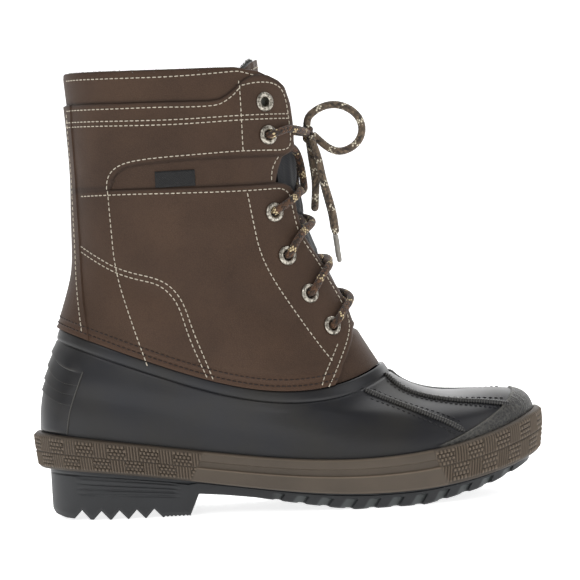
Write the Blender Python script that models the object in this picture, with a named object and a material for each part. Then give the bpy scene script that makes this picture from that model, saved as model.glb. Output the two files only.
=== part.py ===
"""Insulated right boot: lug outsole, rubber rand and shell, leather shaft, tongue and lace.

The frame is +X to the toe, +Y to the inner (medial) side and +Z up, with the floor at z = 0.
Every solid is cut from one last: a table of girth loops from the sole edge to the collar.
A point of the last has an angle (0 at the front centre, pi at the back centre, the outer or
lateral half between them) and a level (0 at the sole edge, 11.6 at the collar). A wall is the
last moved along its normal by an offset. Sizes below are millimetres.
"""

import math
from collections import namedtuple

import bmesh
import bpy
import numpy as np
from mathutils import Vector

MM = 0.001
GAP = 0.3
LATERAL, MEDIAL = 1, -1

# Walls, as offsets from the last
SHELL_WALL = 3.6
LAP_OUTER = -2.6
LAP_INNER = -4.0
LAP_HEIGHT = 0.35
LAP_LOW = 0.03
LAP_FROM_SPOKE = 1.3
LEATHER_INNER = -1.8
LEATHER_BASE = 0.4
OVERLAY = 1.2
BACK_STRIP = 0.9
INSOLE_THICK = 5.0
INSOLE_EASE = 1.3
INSOLE_RIM = 2.0
INSOLE_ROUND = 1.0

# Levels of the last
RAND_TOP = 1.0
LIP_LEVEL = 4.2
SHELL_TOP = 4.45
HEM_LEVEL = 4.5
FOOT_ROWS = (0.03, 0.5, RAND_TOP)
VAMP_ROW = 2.1
RIB_TOP = 4.1
SHELL_INNER_ROWS = (4.1, 3.2, 2.4, 1.7, 1.0, 0.03)
SHAFT_ROWS = (HEM_LEVEL, 4.85, 5.3, 5.75, 6.2, 6.8, 7.5, 8.2)

# Half the width of a step's edge, in angle or level
EDGE_HALF = 0.02

# The shell's lip: a fine groove, a low bead and the step back to the lap that the leather hem covers
LipRow = namedtuple("LipRow", "level offset")
LIP = (
    LipRow(4.06, 0.0), LipRow(4.13, -0.8), LipRow(LIP_LEVEL, 0.5), LipRow(SHELL_TOP - 0.06, 0.7),
    LipRow(SHELL_TOP, 0.1), LipRow(SHELL_TOP, LAP_OUTER),
)

# The last's toe swings to the medial side
SWING = 9.0
SWING_FROM_X = -20.0
SWING_TO_X = 151.0
Y_CENTRE = -0.4

Girth = namedtuple(
    "Girth",
    "level back_x front_x z_back z_third z_two_thirds z_front heel_lateral heel_medial "
    "ball_lateral ball_medial waist_lateral waist_medial heel_at ball_at back_round front_round",
)
GIRTHS = (
    Girth(0.0, -149.0, 148.5, 31.6, 19.8, 9.0, 24.0, 36.0, 35.0, 52.0, 49.5, 2, 7, 0.20, 0.66, 2.2, 2.3),
    Girth(1.0, -151.0, 150.2, 53.6, 39.0, 30.5, 50.5, 37.5, 36.5, 53.0, 50.5, 2, 6, 0.20, 0.66, 2.2, 2.4),
    Girth(1.6, -150.5, 143.0, 66.0, 51.5, 40.5, 61.0, 38.0, 37.0, 52.5, 50.0, 2, 5, 0.20, 0.67, 2.2, 2.4),
    Girth(2.4, -149.0, 118.0, 78.0, 62.0, 49.5, 64.0, 38.0, 37.5, 50.5, 48.5, 1, 4, 0.21, 0.70, 2.2, 2.3),
    Girth(3.3, -145.5, 88.0, 91.0, 72.5, 58.0, 65.7, 38.5, 38.0, 48.0, 46.5, 0, 2, 0.22, 0.74, 2.2, 2.2),
    Girth(4.2, -138.5, 63.0, 110.0, 84.0, 66.5, 78.5, 39.0, 38.5, 46.5, 45.5, 0, 1, 0.25, 0.70, 2.2, 2.2),
    Girth(4.5, -136.2, 59.5, 116.0, 90.5, 73.0, 84.0, 39.5, 39.0, 46.0, 45.0, 0, 0, 0.26, 0.68, 2.2, 2.2),
    Girth(5.3, -131.8, 47.5, 127.5, 109.0, 97.0, 105.0, 40.5, 40.0, 45.5, 44.5, 0, 0, 0.30, 0.62, 2.2, 2.2),
    Girth(6.2, -126.6, 40.0, 143.0, 130.0, 121.5, 124.0, 41.5, 41.0, 45.0, 44.5, 0, 0, 0.34, 0.58, 2.2, 2.2),
    Girth(7.1, -124.3, 30.5, 158.0, 150.5, 145.5, 146.0, 43.0, 42.5, 45.0, 45.0, 0, 0, 0.38, 0.56, 2.2, 2.3),
    Girth(8.1, -123.3, 21.5, 182.0, 177.0, 173.0, 170.0, 44.5, 44.5, 45.5, 45.5, 0, 0, 0.42, 0.55, 2.2, 2.3),
    Girth(9.1, -122.5, 18.6, 207.0, 204.0, 200.5, 198.0, 46.0, 46.0, 46.5, 46.5, 0, 0, 0.45, 0.55, 2.2, 2.3),
    Girth(10.3, -123.1, 18.5, 237.0, 235.0, 232.0, 229.0, 47.0, 47.0, 47.5, 47.5, 0, 0, 0.46, 0.54, 2.2, 2.3),
    Girth(11.6, -125.2, 15.5, 270.0, 267.5, 266.5, 258.0, 48.0, 48.0, 48.5, 48.5, 0, 0, 0.46, 0.54, 2.2, 2.3),
)

# Spokes of the shell: angle at the rand and the angle that the same spoke has at the lip
Spoke = namedtuple("Spoke", "rand lip")
SPOKES = (Spoke(0.0, 0.0), Spoke(0.33, 0.22), Spoke(0.80, 0.577), Spoke(1.35, 1.2), Spoke(math.pi, math.pi))
PLAIN_SPOKES = (0.0, 0.15, 0.22, 0.5, 0.66, 2.7, 2.92, math.pi)
WAIST_SPOKE = 1.15
INNER_RIB, OUTER_RIB = 0.33, 0.80
RIB_HALF = 0.045
RIB_HEIGHT = 1.7
Rib = namedtuple("Rib", "spoke low_level")
RIBS = (Rib(INNER_RIB, 1.70), Rib(OUTER_RIB, 1.28))

# Toe cap: the level of its upper edge along the spokes
CapEdge = namedtuple("CapEdge", "spoke level")
CAP_END_SPOKE = 0.93
CAP_STEP = 0.9
TOE_CAP = (
    CapEdge(0.0, 1.86), CapEdge(INNER_RIB, 1.68), CapEdge(0.70, 1.36),
    CapEdge(CAP_END_SPOKE, 1.08), CapEdge(math.pi, 1.08),
)

# Heel counter: shingles that overlap downwards, from this spoke to the back
COUNTER_SPOKE = 2.5
SHINGLE_EDGES = (1.55, 2.43, 2.95, 3.42, 3.80)
SHINGLE_STEP = 1.5
SHINGLE_FOOT = 0.4

# Lines on the shaft, as seen from the side
SideLine = namedtuple("SideLine", "x z")
THROAT_EDGE = (
    SideLine(27.0, 71.5), SideLine(34.5, 86.0), SideLine(40.0, 98.0), SideLine(42.3, 109.0),
    SideLine(38.5, 122.0), SideLine(31.8, 134.4), SideLine(23.6, 149.5), SideLine(15.5, 164.0),
    SideLine(12.4, 176.0), SideLine(10.8, 187.0), SideLine(6.0, 193.5), SideLine(3.2, 199.0),
    SideLine(3.6, 206.0), SideLine(8.0, 213.0), SideLine(11.2, 219.0), SideLine(12.4, 229.0),
    SideLine(11.4, 244.0), SideLine(8.5, 254.0),
)
QUARTER_TOP = (SideLine(-130.0, 198.3), SideLine(-99.0, 197.7), SideLine(-56.0, 195.8), SideLine(20.0, 194.0))
RECESS_TOP = (SideLine(-130.0, 206.0), SideLine(-94.0, 208.0), SideLine(-67.0, 213.7), SideLine(20.0, 216.0))
COLLAR_SEAM = (SideLine(-130.0, 252.0), SideLine(-89.0, 250.0), SideLine(-33.0, 248.5), SideLine(20.0, 248.5))
COLLAR_EDGE = (
    SideLine(-130.0, 270.0), SideLine(-88.0, 268.0), SideLine(-52.0, 267.0), SideLine(-20.0, 266.5),
    SideLine(-7.0, 264.0), SideLine(4.0, 258.0), SideLine(9.0, 253.0), SideLine(20.0, 249.0),
)
RECESS_REAR_X = -95.0
COLLAR_TAB_X = -20.0
BACK_STRIP_X = -117.5
BACK_STRIP_EDGE = (SideLine(-119.5, 110.0), SideLine(BACK_STRIP_X, 150.0))
SHAFT_START_ANGLE = 0.42

# Tongue: offset of its face, how far it leans back, thickness and half angle at each level
TongueRow = namedtuple("TongueRow", "level face lean thick half_angle")
TONGUE = (
    TongueRow(4.53, -2.6, 0.0, 2.2, 0.90), TongueRow(4.90, -2.6, 0.0, 2.2, 0.68),
    TongueRow(5.30, -2.6, 0.0, 2.2, 0.46), TongueRow(5.70, -2.6, 0.0, 2.6, 0.40),
    TongueRow(6.20, -2.6, 0.0, 3.4, 0.48), TongueRow(6.80, -2.7, 0.0, 4.4, 0.56),
    TongueRow(7.60, -2.8, 0.0, 5.0, 0.62), TongueRow(8.60, -2.9, 0.3, 5.3, 0.62),
    TongueRow(9.50, -3.1, 1.2, 5.5, 0.62), TongueRow(10.4, -3.3, 3.6, 5.8, 0.62),
    TongueRow(11.1, -3.5, 8.4, 6.0, 0.63), TongueRow(11.6, -3.6, 14.5, 6.0, 0.63),
    TongueRow(11.9, -3.6, 17.8, 5.6, 0.60), TongueRow(12.2, -3.6, 18.6, 4.2, 0.48),
)
TONGUE_COLUMNS = 9
TONGUE_EDGE_THIN = 0.35

# Sole profile along the centre line
SolePoint = namedtuple("SolePoint", "x z")
SOLE_BOTTOM = (
    SolePoint(-147.5, 6.0), SolePoint(-144.5, 2.6), SolePoint(-138.0, 0.6), SolePoint(-130.0, 0.0),
    SolePoint(-62.0, 0.0), SolePoint(-56.0, 13.0), SolePoint(-40.0, 11.6), SolePoint(-22.0, 9.4),
    SolePoint(-10.0, 7.3), SolePoint(2.0, 5.2), SolePoint(14.0, 3.3), SolePoint(25.0, 1.5),
    SolePoint(37.0, 0.0), SolePoint(78.0, 0.0), SolePoint(86.0, 1.3), SolePoint(97.0, 3.6),
    SolePoint(110.0, 6.2), SolePoint(122.0, 9.5), SolePoint(136.0, 14.6), SolePoint(147.0, 19.0),
)
SOLE_INSET = -1.6
SOLE_CHAMFER = 1.2
SOLE_LEAST = 2.0
SOLE_END_REACH = 34.0

# Side of the sole from its top down: inset in chamfers, drop as a part of the height
SoleSide = namedtuple("SoleSide", "inset drop")
SOLE_SIDE = (
    SoleSide(0.0, 0.0), SoleSide(0.8, 0.30), SoleSide(0.0, 0.36), SoleSide(0.0, 0.80), SoleSide(1.0, 1.0),
)
HEEL_NOTCHES_X = (-127.5, -115.5, -104.5, -94.0, -83.5)
HEEL_NOTCH_HALF = 5.0
HEEL_NOTCH_DEPTH = 5.4
LUG_FIRST_X = -9.0
LUG_LAST_X = 132.0
LUG_PITCH = 14.0
LUG_GROOVE_TOP = 3.2
LUG_GROOVE_MOUTH = 6.0
LUG_GROOVE_DEPTH = 3.6

# Rand: zones along the side and the steps of its middle zone
RAND_HEEL_ZONE_X = -56.0
RAND_TOE_ZONE_X = 89.0
ZONE_EDGE = 0.012
RandStep = namedtuple("RandStep", "level plain stepped")
RAND_STEPS = (
    RandStep(0.03, 3.4, 3.4), RandStep(0.10, 4.7, 4.7), RandStep(0.50, 4.7, 4.7), RandStep(0.54, 4.7, 3.2),
    RandStep(0.70, 4.7, 3.2), RandStep(0.74, 4.7, 4.2), RandStep(0.95, 4.5, 4.1), RandStep(1.00, 3.6, 3.3),
)

# Eyelets on each side, from the lowest, and the turned section of one (radius, height)
EYELETS = (
    SideLine(28.6, 108.7), SideLine(16.4, 129.1), SideLine(4.3, 152.5),
    SideLine(-1.9, 179.0), SideLine(-3.0, 225.3), SideLine(-4.0, 245.0),
)
EYELET_HOLE = 3.7
TurnPoint = namedtuple("TurnPoint", "radius height")
EYELET_SECTION = (
    TurnPoint(2.6, -3.9), TurnPoint(3.3, -3.6), TurnPoint(3.3, 0.3), TurnPoint(5.5, 0.8), TurnPoint(3.0, 1.7),
)
EYELET_SIDES = 8
EYELET_SEAT = LEATHER_BASE + OVERLAY

# Lace
LACE_RADIUS = 2.3
LACE_SIDES = 6
CROSS_START = EYELET_SEAT + 2.0 + GAP + LACE_RADIUS
CROSS_MIDDLE = 1.2
CROSS_THROAT = (0.28, 0.40)
CROSS_END_EASE = 0.12
CROSS_RISE = 0.74
CROSS_POINTS = 8
OVER_EDGE = 4.6
LACED_EYELETS = 5
BAR_MIDDLE = -3.0
BAR_PARTS = (0.0, 0.5, 0.75, 1.0)
BAR_POINTS = 11
KNOT_CENTRE = (21.9, 1.2, 226.0)
KNOT_RADII = (3.4, 6.0, 5.6)
Route = namedtuple("Route", "x y z")
FRONT_LOOP = (
    Route(22.8, -2.8, 235.6), Route(26.2, -3.2, 238.8), Route(32.6, -3.6, 241.8), Route(39.4, -4.0, 242.4),
    Route(46.8, -4.4, 239.9), Route(52.9, -4.8, 234.2), Route(54.9, -5.0, 227.6), Route(52.6, -5.0, 220.0),
    Route(46.8, -4.8, 215.3), Route(39.8, -4.4, 214.0), Route(33.2, -3.6, 217.0), Route(27.4, -2.3, 222.5),
)
DROP_LOOP = (
    Route(22.8, 3.4, 218.6), Route(23.8, 7.6, 208.0), Route(24.8, 11.4, 198.0), Route(24.6, 12.6, 190.0),
    Route(23.9, 9.6, 183.3), Route(23.6, 2.9, 180.4), Route(23.9, -3.8, 183.2), Route(24.5, -6.8, 190.0),
    Route(25.2, -6.6, 199.0), Route(24.2, -3.8, 210.0), Route(22.9, -1.9, 218.4),
)
LATERAL_END = (
    Route(24.4, -6.4, 219.8), Route(26.8, -8.2, 212.0), Route(29.0, -10.6, 199.5), Route(32.4, -11.2, 185.0),
    Route(34.4, -11.4, 174.5), Route(35.3, -11.4, 163.6),
)
MEDIAL_END = (
    Route(24.8, 8.2, 218.8), Route(26.2, 11.0, 212.6), Route(29.2, 16.0, 199.0), Route(32.2, 18.4, 185.0),
    Route(34.2, 19.0, 175.0), Route(35.1, 19.0, 165.4),
)
AGLET_LENGTH = 17.0
AGLET_RADIUS = 1.6
ROUTE_STEP = 10.0
KNOT_ROWS, KNOT_COLUMNS = 6, 10

# Woven label in the recess of the lateral side
LABEL_X = (-71.0, -47.5)
LABEL_Z = (198.4, 208.2)
LABEL_FACES = (LEATHER_BASE + GAP, LEATHER_BASE + GAP + 0.8)

# Colour (linear), roughness and metallic of each material
Finish = namedtuple("Finish", "colour roughness metallic")
FINISHES = {
    "black_rubber": Finish((0.018, 0.018, 0.019), 0.55, 0.0),
    "brown_rubber": Finish((0.105, 0.072, 0.048), 0.62, 0.0),
    "brown_leather": Finish((0.078, 0.051, 0.036), 0.58, 0.0),
    "tongue_nylon": Finish((0.022, 0.022, 0.026), 0.80, 0.0),
    "felt": Finish((0.20, 0.20, 0.20), 0.95, 0.0),
    "aged_nickel": Finish((0.42, 0.39, 0.34), 0.38, 1.0),
    "lace_cord": Finish((0.075, 0.050, 0.032), 0.85, 0.0),
    "clear_aglet": Finish((0.42, 0.34, 0.24), 0.35, 0.0),
    "black_weave": Finish((0.015, 0.015, 0.016), 0.75, 0.0),
}


class Spline:
    """Natural cubic spline through the rows of a table."""

    def __init__(self, knots, rows):
        self.knots = np.asarray(knots, dtype=float)
        self.rows = np.asarray(rows, dtype=float)
        count = len(self.knots)
        step = np.diff(self.knots)
        matrix = np.eye(count)
        right = np.zeros_like(self.rows)
        slope = np.diff(self.rows, axis=0) / step[:, None]
        for i in range(1, count - 1):
            matrix[i, i - 1:i + 2] = step[i - 1], 2 * (step[i - 1] + step[i]), step[i]
            right[i] = 6 * (slope[i] - slope[i - 1])
        self.bend = np.linalg.solve(matrix, right)

    def at(self, place):
        """Row of values at each place; past the ends the last piece goes on."""
        place = np.asarray(place, dtype=float)
        i = np.clip(np.searchsorted(self.knots, place) - 1, 0, len(self.knots) - 2)
        step = self.knots[i + 1] - self.knots[i]
        high = ((place - self.knots[i]) / step)[..., None]
        low = 1 - high
        curve = (low ** 3 - low) * self.bend[i] + (high ** 3 - high) * self.bend[i + 1]
        return low * self.rows[i] + high * self.rows[i + 1] + curve * (step ** 2)[..., None] / 6


LAST = Spline([row.level for row in GIRTHS], [row[1:] for row in GIRTHS])


def thirds(along, start, third, two_thirds, end):
    """Cubic through four values at 0, 1/3, 2/3 and 1."""
    a, b, c = along, along - 1 / 3, along - 2 / 3
    d = along - 1
    return (
        -4.5 * b * c * d * start + 13.5 * a * c * d * third
        - 13.5 * a * b * d * two_thirds + 4.5 * a * b * c * end
    )


def last_point(angle, level):
    """Point of the last: a girth loop with round heel, waist, ball and round toe."""
    angle, level = np.broadcast_arrays(np.asarray(angle, dtype=float), np.asarray(level, dtype=float))
    row = Girth(level, *np.moveaxis(LAST.at(level), -1, 0))
    along = (1 + np.cos(angle)) / 2
    lateral = np.sin(angle) >= 0
    heel = np.where(lateral, row.heel_lateral, row.heel_medial)
    ball = np.where(lateral, row.ball_lateral, row.ball_medial)
    waist = np.where(lateral, row.waist_lateral, row.waist_medial)
    back = np.clip(1 - along / row.heel_at, 0, 1)
    front = np.clip((along - row.ball_at) / (1 - row.ball_at), 0, 1)
    middle = np.clip((along - row.heel_at) / (row.ball_at - row.heel_at), 0, 1)
    half = heel + (ball - heel) * (1 - np.cos(math.pi * middle)) / 2 - waist * np.sin(math.pi * middle) ** 2
    half = half * np.sqrt(np.clip(1 - back ** row.back_round, 0, 1))
    half = half * np.sqrt(np.clip(1 - front ** row.front_round, 0, 1))
    x = row.back_x + along * (row.front_x - row.back_x)
    swing = SWING * np.clip((x - SWING_FROM_X) / (SWING_TO_X - SWING_FROM_X), 0, 2) ** 2
    y = np.where(lateral, -half, half) + swing + Y_CENTRE
    z = thirds(along, row.z_back, row.z_third, row.z_two_thirds, row.z_front)
    return np.stack([x, y, z], axis=-1)


def last_normal(angle, level):
    """Unit normal of the last, pointing out of the boot."""
    tiny = 1e-3
    around = last_point(angle + tiny, level) - last_point(angle - tiny, level)
    upward = last_point(angle, level + tiny) - last_point(angle, level - tiny)
    normal = np.cross(upward, around)
    return normal / np.linalg.norm(normal, axis=-1, keepdims=True)


def wall_point(angle, level, offset):
    """Point of the last moved out along its normal by the offset."""
    angle, level, offset = np.broadcast_arrays(angle, level, offset)
    return last_point(angle, level) + last_normal(angle, level) * np.asarray(offset)[..., None]


def locate(x, z):
    """Angle and level, on the lateral half, of the last's point seen at x and z from the side."""
    angles, levels = np.meshgrid(np.linspace(0.02, 3.1, 90), np.linspace(0.0, 12.3, 120), indexing="ij")
    seen = last_point(angles, levels)[..., ::2]
    nearest = np.argmin(np.sum((seen - (x, z)) ** 2, axis=-1))
    guess = np.array([angles.flat[nearest], levels.flat[nearest]])
    tiny = 1e-4
    for _ in range(8):
        here = last_point(*guess)[::2]
        by_angle = (last_point(guess[0] + tiny, guess[1])[::2] - here) / tiny
        by_level = (last_point(guess[0], guess[1] + tiny)[::2] - here) / tiny
        move = np.linalg.solve(np.stack([by_angle, by_level], axis=1), np.array([x, z]) - here)
        guess = guess + np.clip(move, -0.2, 0.2)
        guess[0] = np.clip(guess[0], 1e-3, math.pi)
    return guess


def levels_on_line(angles, line):
    """Level at each angle where the last crosses a line drawn on its side view."""
    levels = np.linspace(4.0, 12.3, 250)
    side = last_point(np.asarray(angles)[:, None], levels[None, :])
    above = side[..., 2] - np.interp(side[..., 0], [p.x for p in line], [p.z for p in line])
    return np.array([np.interp(0.0, gap, levels) for gap in above])


def mirrored(half):
    """Angles of a whole loop from those of its lateral half, front and back centre included."""
    half = np.asarray(half)
    return np.concatenate([half, 2 * math.pi - half[-2:0:-1]])


def lateral_angle(angle):
    """The lateral twin of each angle, between 0 and pi."""
    return np.where(angle > math.pi, 2 * math.pi - angle, angle)


def spoke_angle(spoke, level):
    """Angle of a shell spoke at a level: spokes fan out from the lip to the rand."""
    lateral = lateral_angle(spoke)
    at_lip = np.interp(lateral, [s.rand for s in SPOKES], [s.lip for s in SPOKES])
    low = np.clip((LIP_LEVEL - level) / (LIP_LEVEL - RAND_TOP), 0, 1)
    angle = at_lip + (lateral - at_lip) * low
    return np.where(spoke > math.pi, 2 * math.pi - angle, angle)


def angle_at_x(x, level):
    """Angle on the lateral half where the last's loop at a level passes x."""
    row = Girth(level, *LAST.at(level))
    return math.acos(2 * (x - row.back_x) / (row.front_x - row.back_x) - 1)


def make_material(slot):
    """Principled material of a slot."""
    finish = FINISHES[slot]
    material = bpy.data.materials.new(slot)
    material.use_nodes = True
    shader = material.node_tree.nodes["Principled BSDF"]
    shader.inputs["Base Color"].default_value = (*finish.colour, 1.0)
    shader.inputs["Roughness"].default_value = finish.roughness
    shader.inputs["Metallic"].default_value = finish.metallic
    return material


def material_for(slot):
    """Material of a slot, made once."""
    return bpy.data.materials.get(slot) or make_material(slot)


def add_mesh(name, points, faces, slot):
    """Object from points in millimetres, with its faces turned outwards and shaded smooth."""
    mesh = bpy.data.meshes.new(name)
    mesh.from_pydata((np.asarray(points) * MM).tolist(), [], faces)
    shape = bmesh.new()
    shape.from_mesh(mesh)
    bmesh.ops.recalc_face_normals(shape, faces=shape.faces)
    shape.to_mesh(mesh)
    shape.free()
    mesh.shade_smooth()
    mesh.set_sharp_from_angle(angle=math.radians(35))
    mesh.materials.append(material_for(slot))
    piece = bpy.data.objects.new(name, mesh)
    bpy.context.scene.collection.objects.link(piece)
    return piece


def ring_solid(name, sections, slot, closed=True):
    """Solid swept through sections, each a closed polygon; open sweeps are capped."""
    count, size = sections.shape[:2]
    faces = []
    for i in range(count if closed else count - 1):
        here, there = i * size, (i + 1) % count * size
        for k in range(size):
            after = (k + 1) % size
            faces.append((here + k, there + k, there + after, here + after))
    if not closed:
        faces.append(tuple(range(size)))
        faces.append(tuple(range((count - 1) * size, count * size)))
    return add_mesh(name, sections.reshape(-1, 3), faces, slot)


def sheet_solid(name, outer, inner, slot):
    """Solid between two grids of points of the same size."""
    rows, columns = outer.shape[:2]
    index = np.arange(rows * columns).reshape(rows, columns)
    below = index + rows * columns
    faces = []
    for r in range(rows - 1):
        for c in range(columns - 1):
            faces.append((index[r, c], index[r, c + 1], index[r + 1, c + 1], index[r + 1, c]))
            faces.append((below[r, c], below[r + 1, c], below[r + 1, c + 1], below[r, c + 1]))
    rim = [(r, 0) for r in range(rows)]
    rim += [(rows - 1, c) for c in range(1, columns)]
    rim += [(r, columns - 1) for r in range(rows - 2, -1, -1)]
    rim += [(0, c) for c in range(columns - 2, 0, -1)]
    for a, b in zip(rim, rim[1:] + rim[:1]):
        faces.append((index[a], index[b], below[b], below[a]))
    points = np.concatenate([outer.reshape(-1, 3), inner.reshape(-1, 3)])
    return add_mesh(name, points, [tuple(int(i) for i in face) for face in faces], slot)


def shell_relief(spoke, level):
    """Height of ribs, toe cap and heel shingles over the shell's plain wall."""
    lateral = lateral_angle(spoke)
    height = np.zeros(np.broadcast(spoke, level).shape)
    for rib in RIBS:
        on_spoke = np.abs(lateral - rib.spoke) < RIB_HALF / 2
        on_rib = on_spoke & (level > rib.low_level) & (level < RIB_TOP)
        height = np.where(on_rib, RIB_HEIGHT, height)
    cap_level = np.interp(lateral, [e.spoke for e in TOE_CAP], [e.level for e in TOE_CAP])
    height = np.where((level < cap_level) & (lateral < CAP_END_SPOKE), CAP_STEP, height)
    for low, high in zip(SHINGLE_EDGES, SHINGLE_EDGES[1:] + (LIP_LEVEL,)):
        on_shingle = (lateral > COUNTER_SPOKE) & (level >= low) & (level < high)
        rise = SHINGLE_FOOT + (SHINGLE_STEP - SHINGLE_FOOT) * (high - level) / (high - low)
        height = np.where(on_shingle, rise, height)
    return height


def foot_spokes():
    """Spokes that shell and rand share, so that their facets run side by side."""
    toe_zone, heel_zone = [angle_at_x(x, 0.5) for x in (RAND_TOE_ZONE_X, RAND_HEEL_ZONE_X)]
    half = list(PLAIN_SPOKES) + [CAP_END_SPOKE + EDGE_HALF]
    for rib in RIBS:
        half += [rib.spoke - RIB_HALF, rib.spoke, rib.spoke + RIB_HALF]
    for zone in (toe_zone, heel_zone):
        half += [zone - ZONE_EDGE, zone + ZONE_EDGE]
    half += list(np.linspace(WAIST_SPOKE, heel_zone - 0.2, 4))
    half += list(np.linspace(heel_zone + 0.2, COUNTER_SPOKE - EDGE_HALF, 3)) + [COUNTER_SPOKE + EDGE_HALF]
    return mirrored(sorted(half))[:, None], toe_zone, heel_zone


def build_rubber_shell():
    """Moulded rubber lower, open at its top and under the foot."""
    spokes = foot_spokes()[0]
    lateral = lateral_angle(spokes)
    cap = np.interp(lateral, [e.spoke for e in TOE_CAP], [e.level for e in TOE_CAP])
    shingle_rows = [edge + side for edge in SHINGLE_EDGES[1:] for side in (-EDGE_HALF, EDGE_HALF)]
    outer_rows = list(FOOT_ROWS) + [cap - EDGE_HALF, cap + EDGE_HALF, VAMP_ROW] + shingle_rows
    outer = np.concatenate([np.broadcast_to(row, spokes.shape) for row in outer_rows], axis=1)
    # the lap under the hem is tall at the sides and low in front of the tongue's base
    lap = SHELL_TOP + np.where(lateral > LAP_FROM_SPOKE, LAP_HEIGHT, LAP_LOW)
    rest = list(LIP) + [LipRow(lap, LAP_OUTER), LipRow(lap, LAP_INNER)]
    rest += [LipRow(level, -SHELL_WALL) for level in SHELL_INNER_ROWS]
    rest_levels = [np.broadcast_to(row.level, spokes.shape) for row in rest]
    rest_offsets = np.broadcast_to([row.offset for row in rest], (len(spokes), len(rest)))
    levels = np.concatenate([outer] + rest_levels, axis=1)
    offsets = np.concatenate([shell_relief(spokes, outer), rest_offsets], axis=1)
    points = wall_point(spoke_angle(spokes, levels), levels, offsets)
    return ring_solid("rubber_shell", points, "black_rubber")


def build_rand():
    """Rubber rand round the whole foot, plain at heel and toe and stepped along the middle."""
    angles, toe_zone, heel_zone = foot_spokes()
    lateral = lateral_angle(angles)
    middle = (lateral > toe_zone) & (lateral < heel_zone)
    levels = np.array([step.level for step in RAND_STEPS] + list(FOOT_ROWS[::-1]))
    plain = np.array([step.plain for step in RAND_STEPS])
    stepped = np.array([step.stepped for step in RAND_STEPS])
    outer = np.where(middle, stepped, plain)
    inner = np.where(lateral < CAP_END_SPOKE + 2 * EDGE_HALF, CAP_STEP, 0.0) + GAP
    offsets = np.concatenate([outer, np.repeat(inner, len(FOOT_ROWS), axis=1)], axis=1)
    return ring_solid("rand", wall_point(angles, levels[None, :], offsets), "brown_rubber")


def plan_outline(level, offset, inset_side):
    """Half outline of a loop seen from above, as x rising with the y of one side."""
    angles = np.linspace(0.0, math.pi, 400)
    loop = last_point(angles if inset_side == LATERAL else -angles, level)[:, :2]
    along = np.gradient(loop, axis=0)
    out = np.stack([along[:, 1], -along[:, 0]], axis=1) * (-inset_side)
    loop = loop + offset * out / np.linalg.norm(out, axis=1, keepdims=True)
    return loop[::-1, 0], loop[::-1, 1]


def plank_sections(stations, level, offset):
    """Lateral y, medial y and floor height of the last's sole at each station x."""
    lateral = np.interp(stations, *plan_outline(level, offset, LATERAL))
    medial = np.interp(stations, *plan_outline(level, offset, MEDIAL))
    row = Girth(level, *LAST.at(level))
    along = (stations - row.back_x) / (row.front_x - row.back_x)
    return lateral, medial, thirds(along, row.z_back, row.z_third, row.z_two_thirds, row.z_front)


def end_stations(start, end, count, reach):
    """Stations that close up towards both round ends."""
    turn = np.linspace(0.0, math.pi / 2, count)
    rear = start + reach * (1 - np.cos(turn))
    fore = end - reach * (1 - np.cos(turn))
    return np.unique(np.concatenate([rear, fore]))


def build_outsole():
    """Lug outsole: heel block, arch, forefoot and toe spring in one piece."""
    outline_x = plan_outline(0.0, SOLE_INSET, LATERAL)[0]
    start, end = outline_x[0] + 0.4, outline_x[-1] - 0.4
    bottom = {float(x): 0.0 for x in end_stations(start, end, 7, SOLE_END_REACH)}
    for point in SOLE_BOTTOM[1:-1]:
        bottom[point.x] = 0.0
    cuts = []
    for x in HEEL_NOTCHES_X:
        cuts.append(((x - HEEL_NOTCH_HALF, 0.0), (x, HEEL_NOTCH_DEPTH), (x + HEEL_NOTCH_HALF, 0.0)))
    for x in np.arange(LUG_FIRST_X, LUG_LAST_X, LUG_PITCH):
        mouth, roof = LUG_GROOVE_MOUTH / 2, LUG_GROOVE_TOP / 2
        depth = LUG_GROOVE_DEPTH
        cuts.append(((x - mouth, 0.0), (x - roof, depth), (x + roof, depth), (x + mouth, 0.0)))
    for cut in cuts:
        bottom = {x: z for x, z in bottom.items() if not cut[0][0] - 0.5 < x < cut[-1][0] + 0.5}
        for x, depth in cut:
            bottom[float(x)] = depth
    stations = np.array(sorted(bottom))
    depth = np.array([bottom[x] for x in stations])
    lateral, medial, top = plank_sections(stations, 0.0, SOLE_INSET)
    top = top - GAP
    low = np.interp(stations, [p.x for p in SOLE_BOTTOM], [p.z for p in SOLE_BOTTOM]) + depth
    low = np.minimum(low, top - SOLE_LEAST)
    chamfer = np.minimum(SOLE_CHAMFER, (medial - lateral) / 6)
    section = []
    for edge, inwards in ((lateral, 1), (medial, -1)):
        points = []
        for row in SOLE_SIDE:
            y = edge + inwards * row.inset * chamfer
            points.append(np.stack([stations, y, top - row.drop * (top - low)], axis=1))
        section += points[::inwards]
    return ring_solid("outsole", np.stack(section, axis=1), "black_rubber", closed=False)


def build_insole():
    """Footbed that lies on the outsole, inside the shell."""
    offset = -SHELL_WALL - INSOLE_EASE
    outline_x = plan_outline(0.0, offset, LATERAL)[0]
    start, end = outline_x[0] + 1.0, outline_x[-1] - 1.0
    middle = np.linspace(start + 1.5 * SOLE_END_REACH, end - 1.5 * SOLE_END_REACH, 10)
    stations = np.unique(np.concatenate([end_stations(start, end, 6, SOLE_END_REACH), middle]))
    lateral, medial, floor = plank_sections(stations, 0.0, offset)
    low = floor + GAP
    top = low + INSOLE_THICK
    rim = np.minimum(INSOLE_RIM, (medial - lateral) / 5)
    corners = (
        (lateral, low), (lateral, top - INSOLE_ROUND), (lateral + rim, top),
        (medial - rim, top), (medial, top - INSOLE_ROUND), (medial, low),
    )
    sections = np.stack([np.stack([stations, y, z], axis=1) for y, z in corners], axis=1)
    return ring_solid("insole", sections, "felt", closed=False)


def throat_angle(level):
    """Angle of the quarter's front edge at a level."""
    spots = np.array([locate(p.x, p.z) for p in THROAT_EDGE])
    return np.interp(level, spots[:, 1], spots[:, 0])


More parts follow.
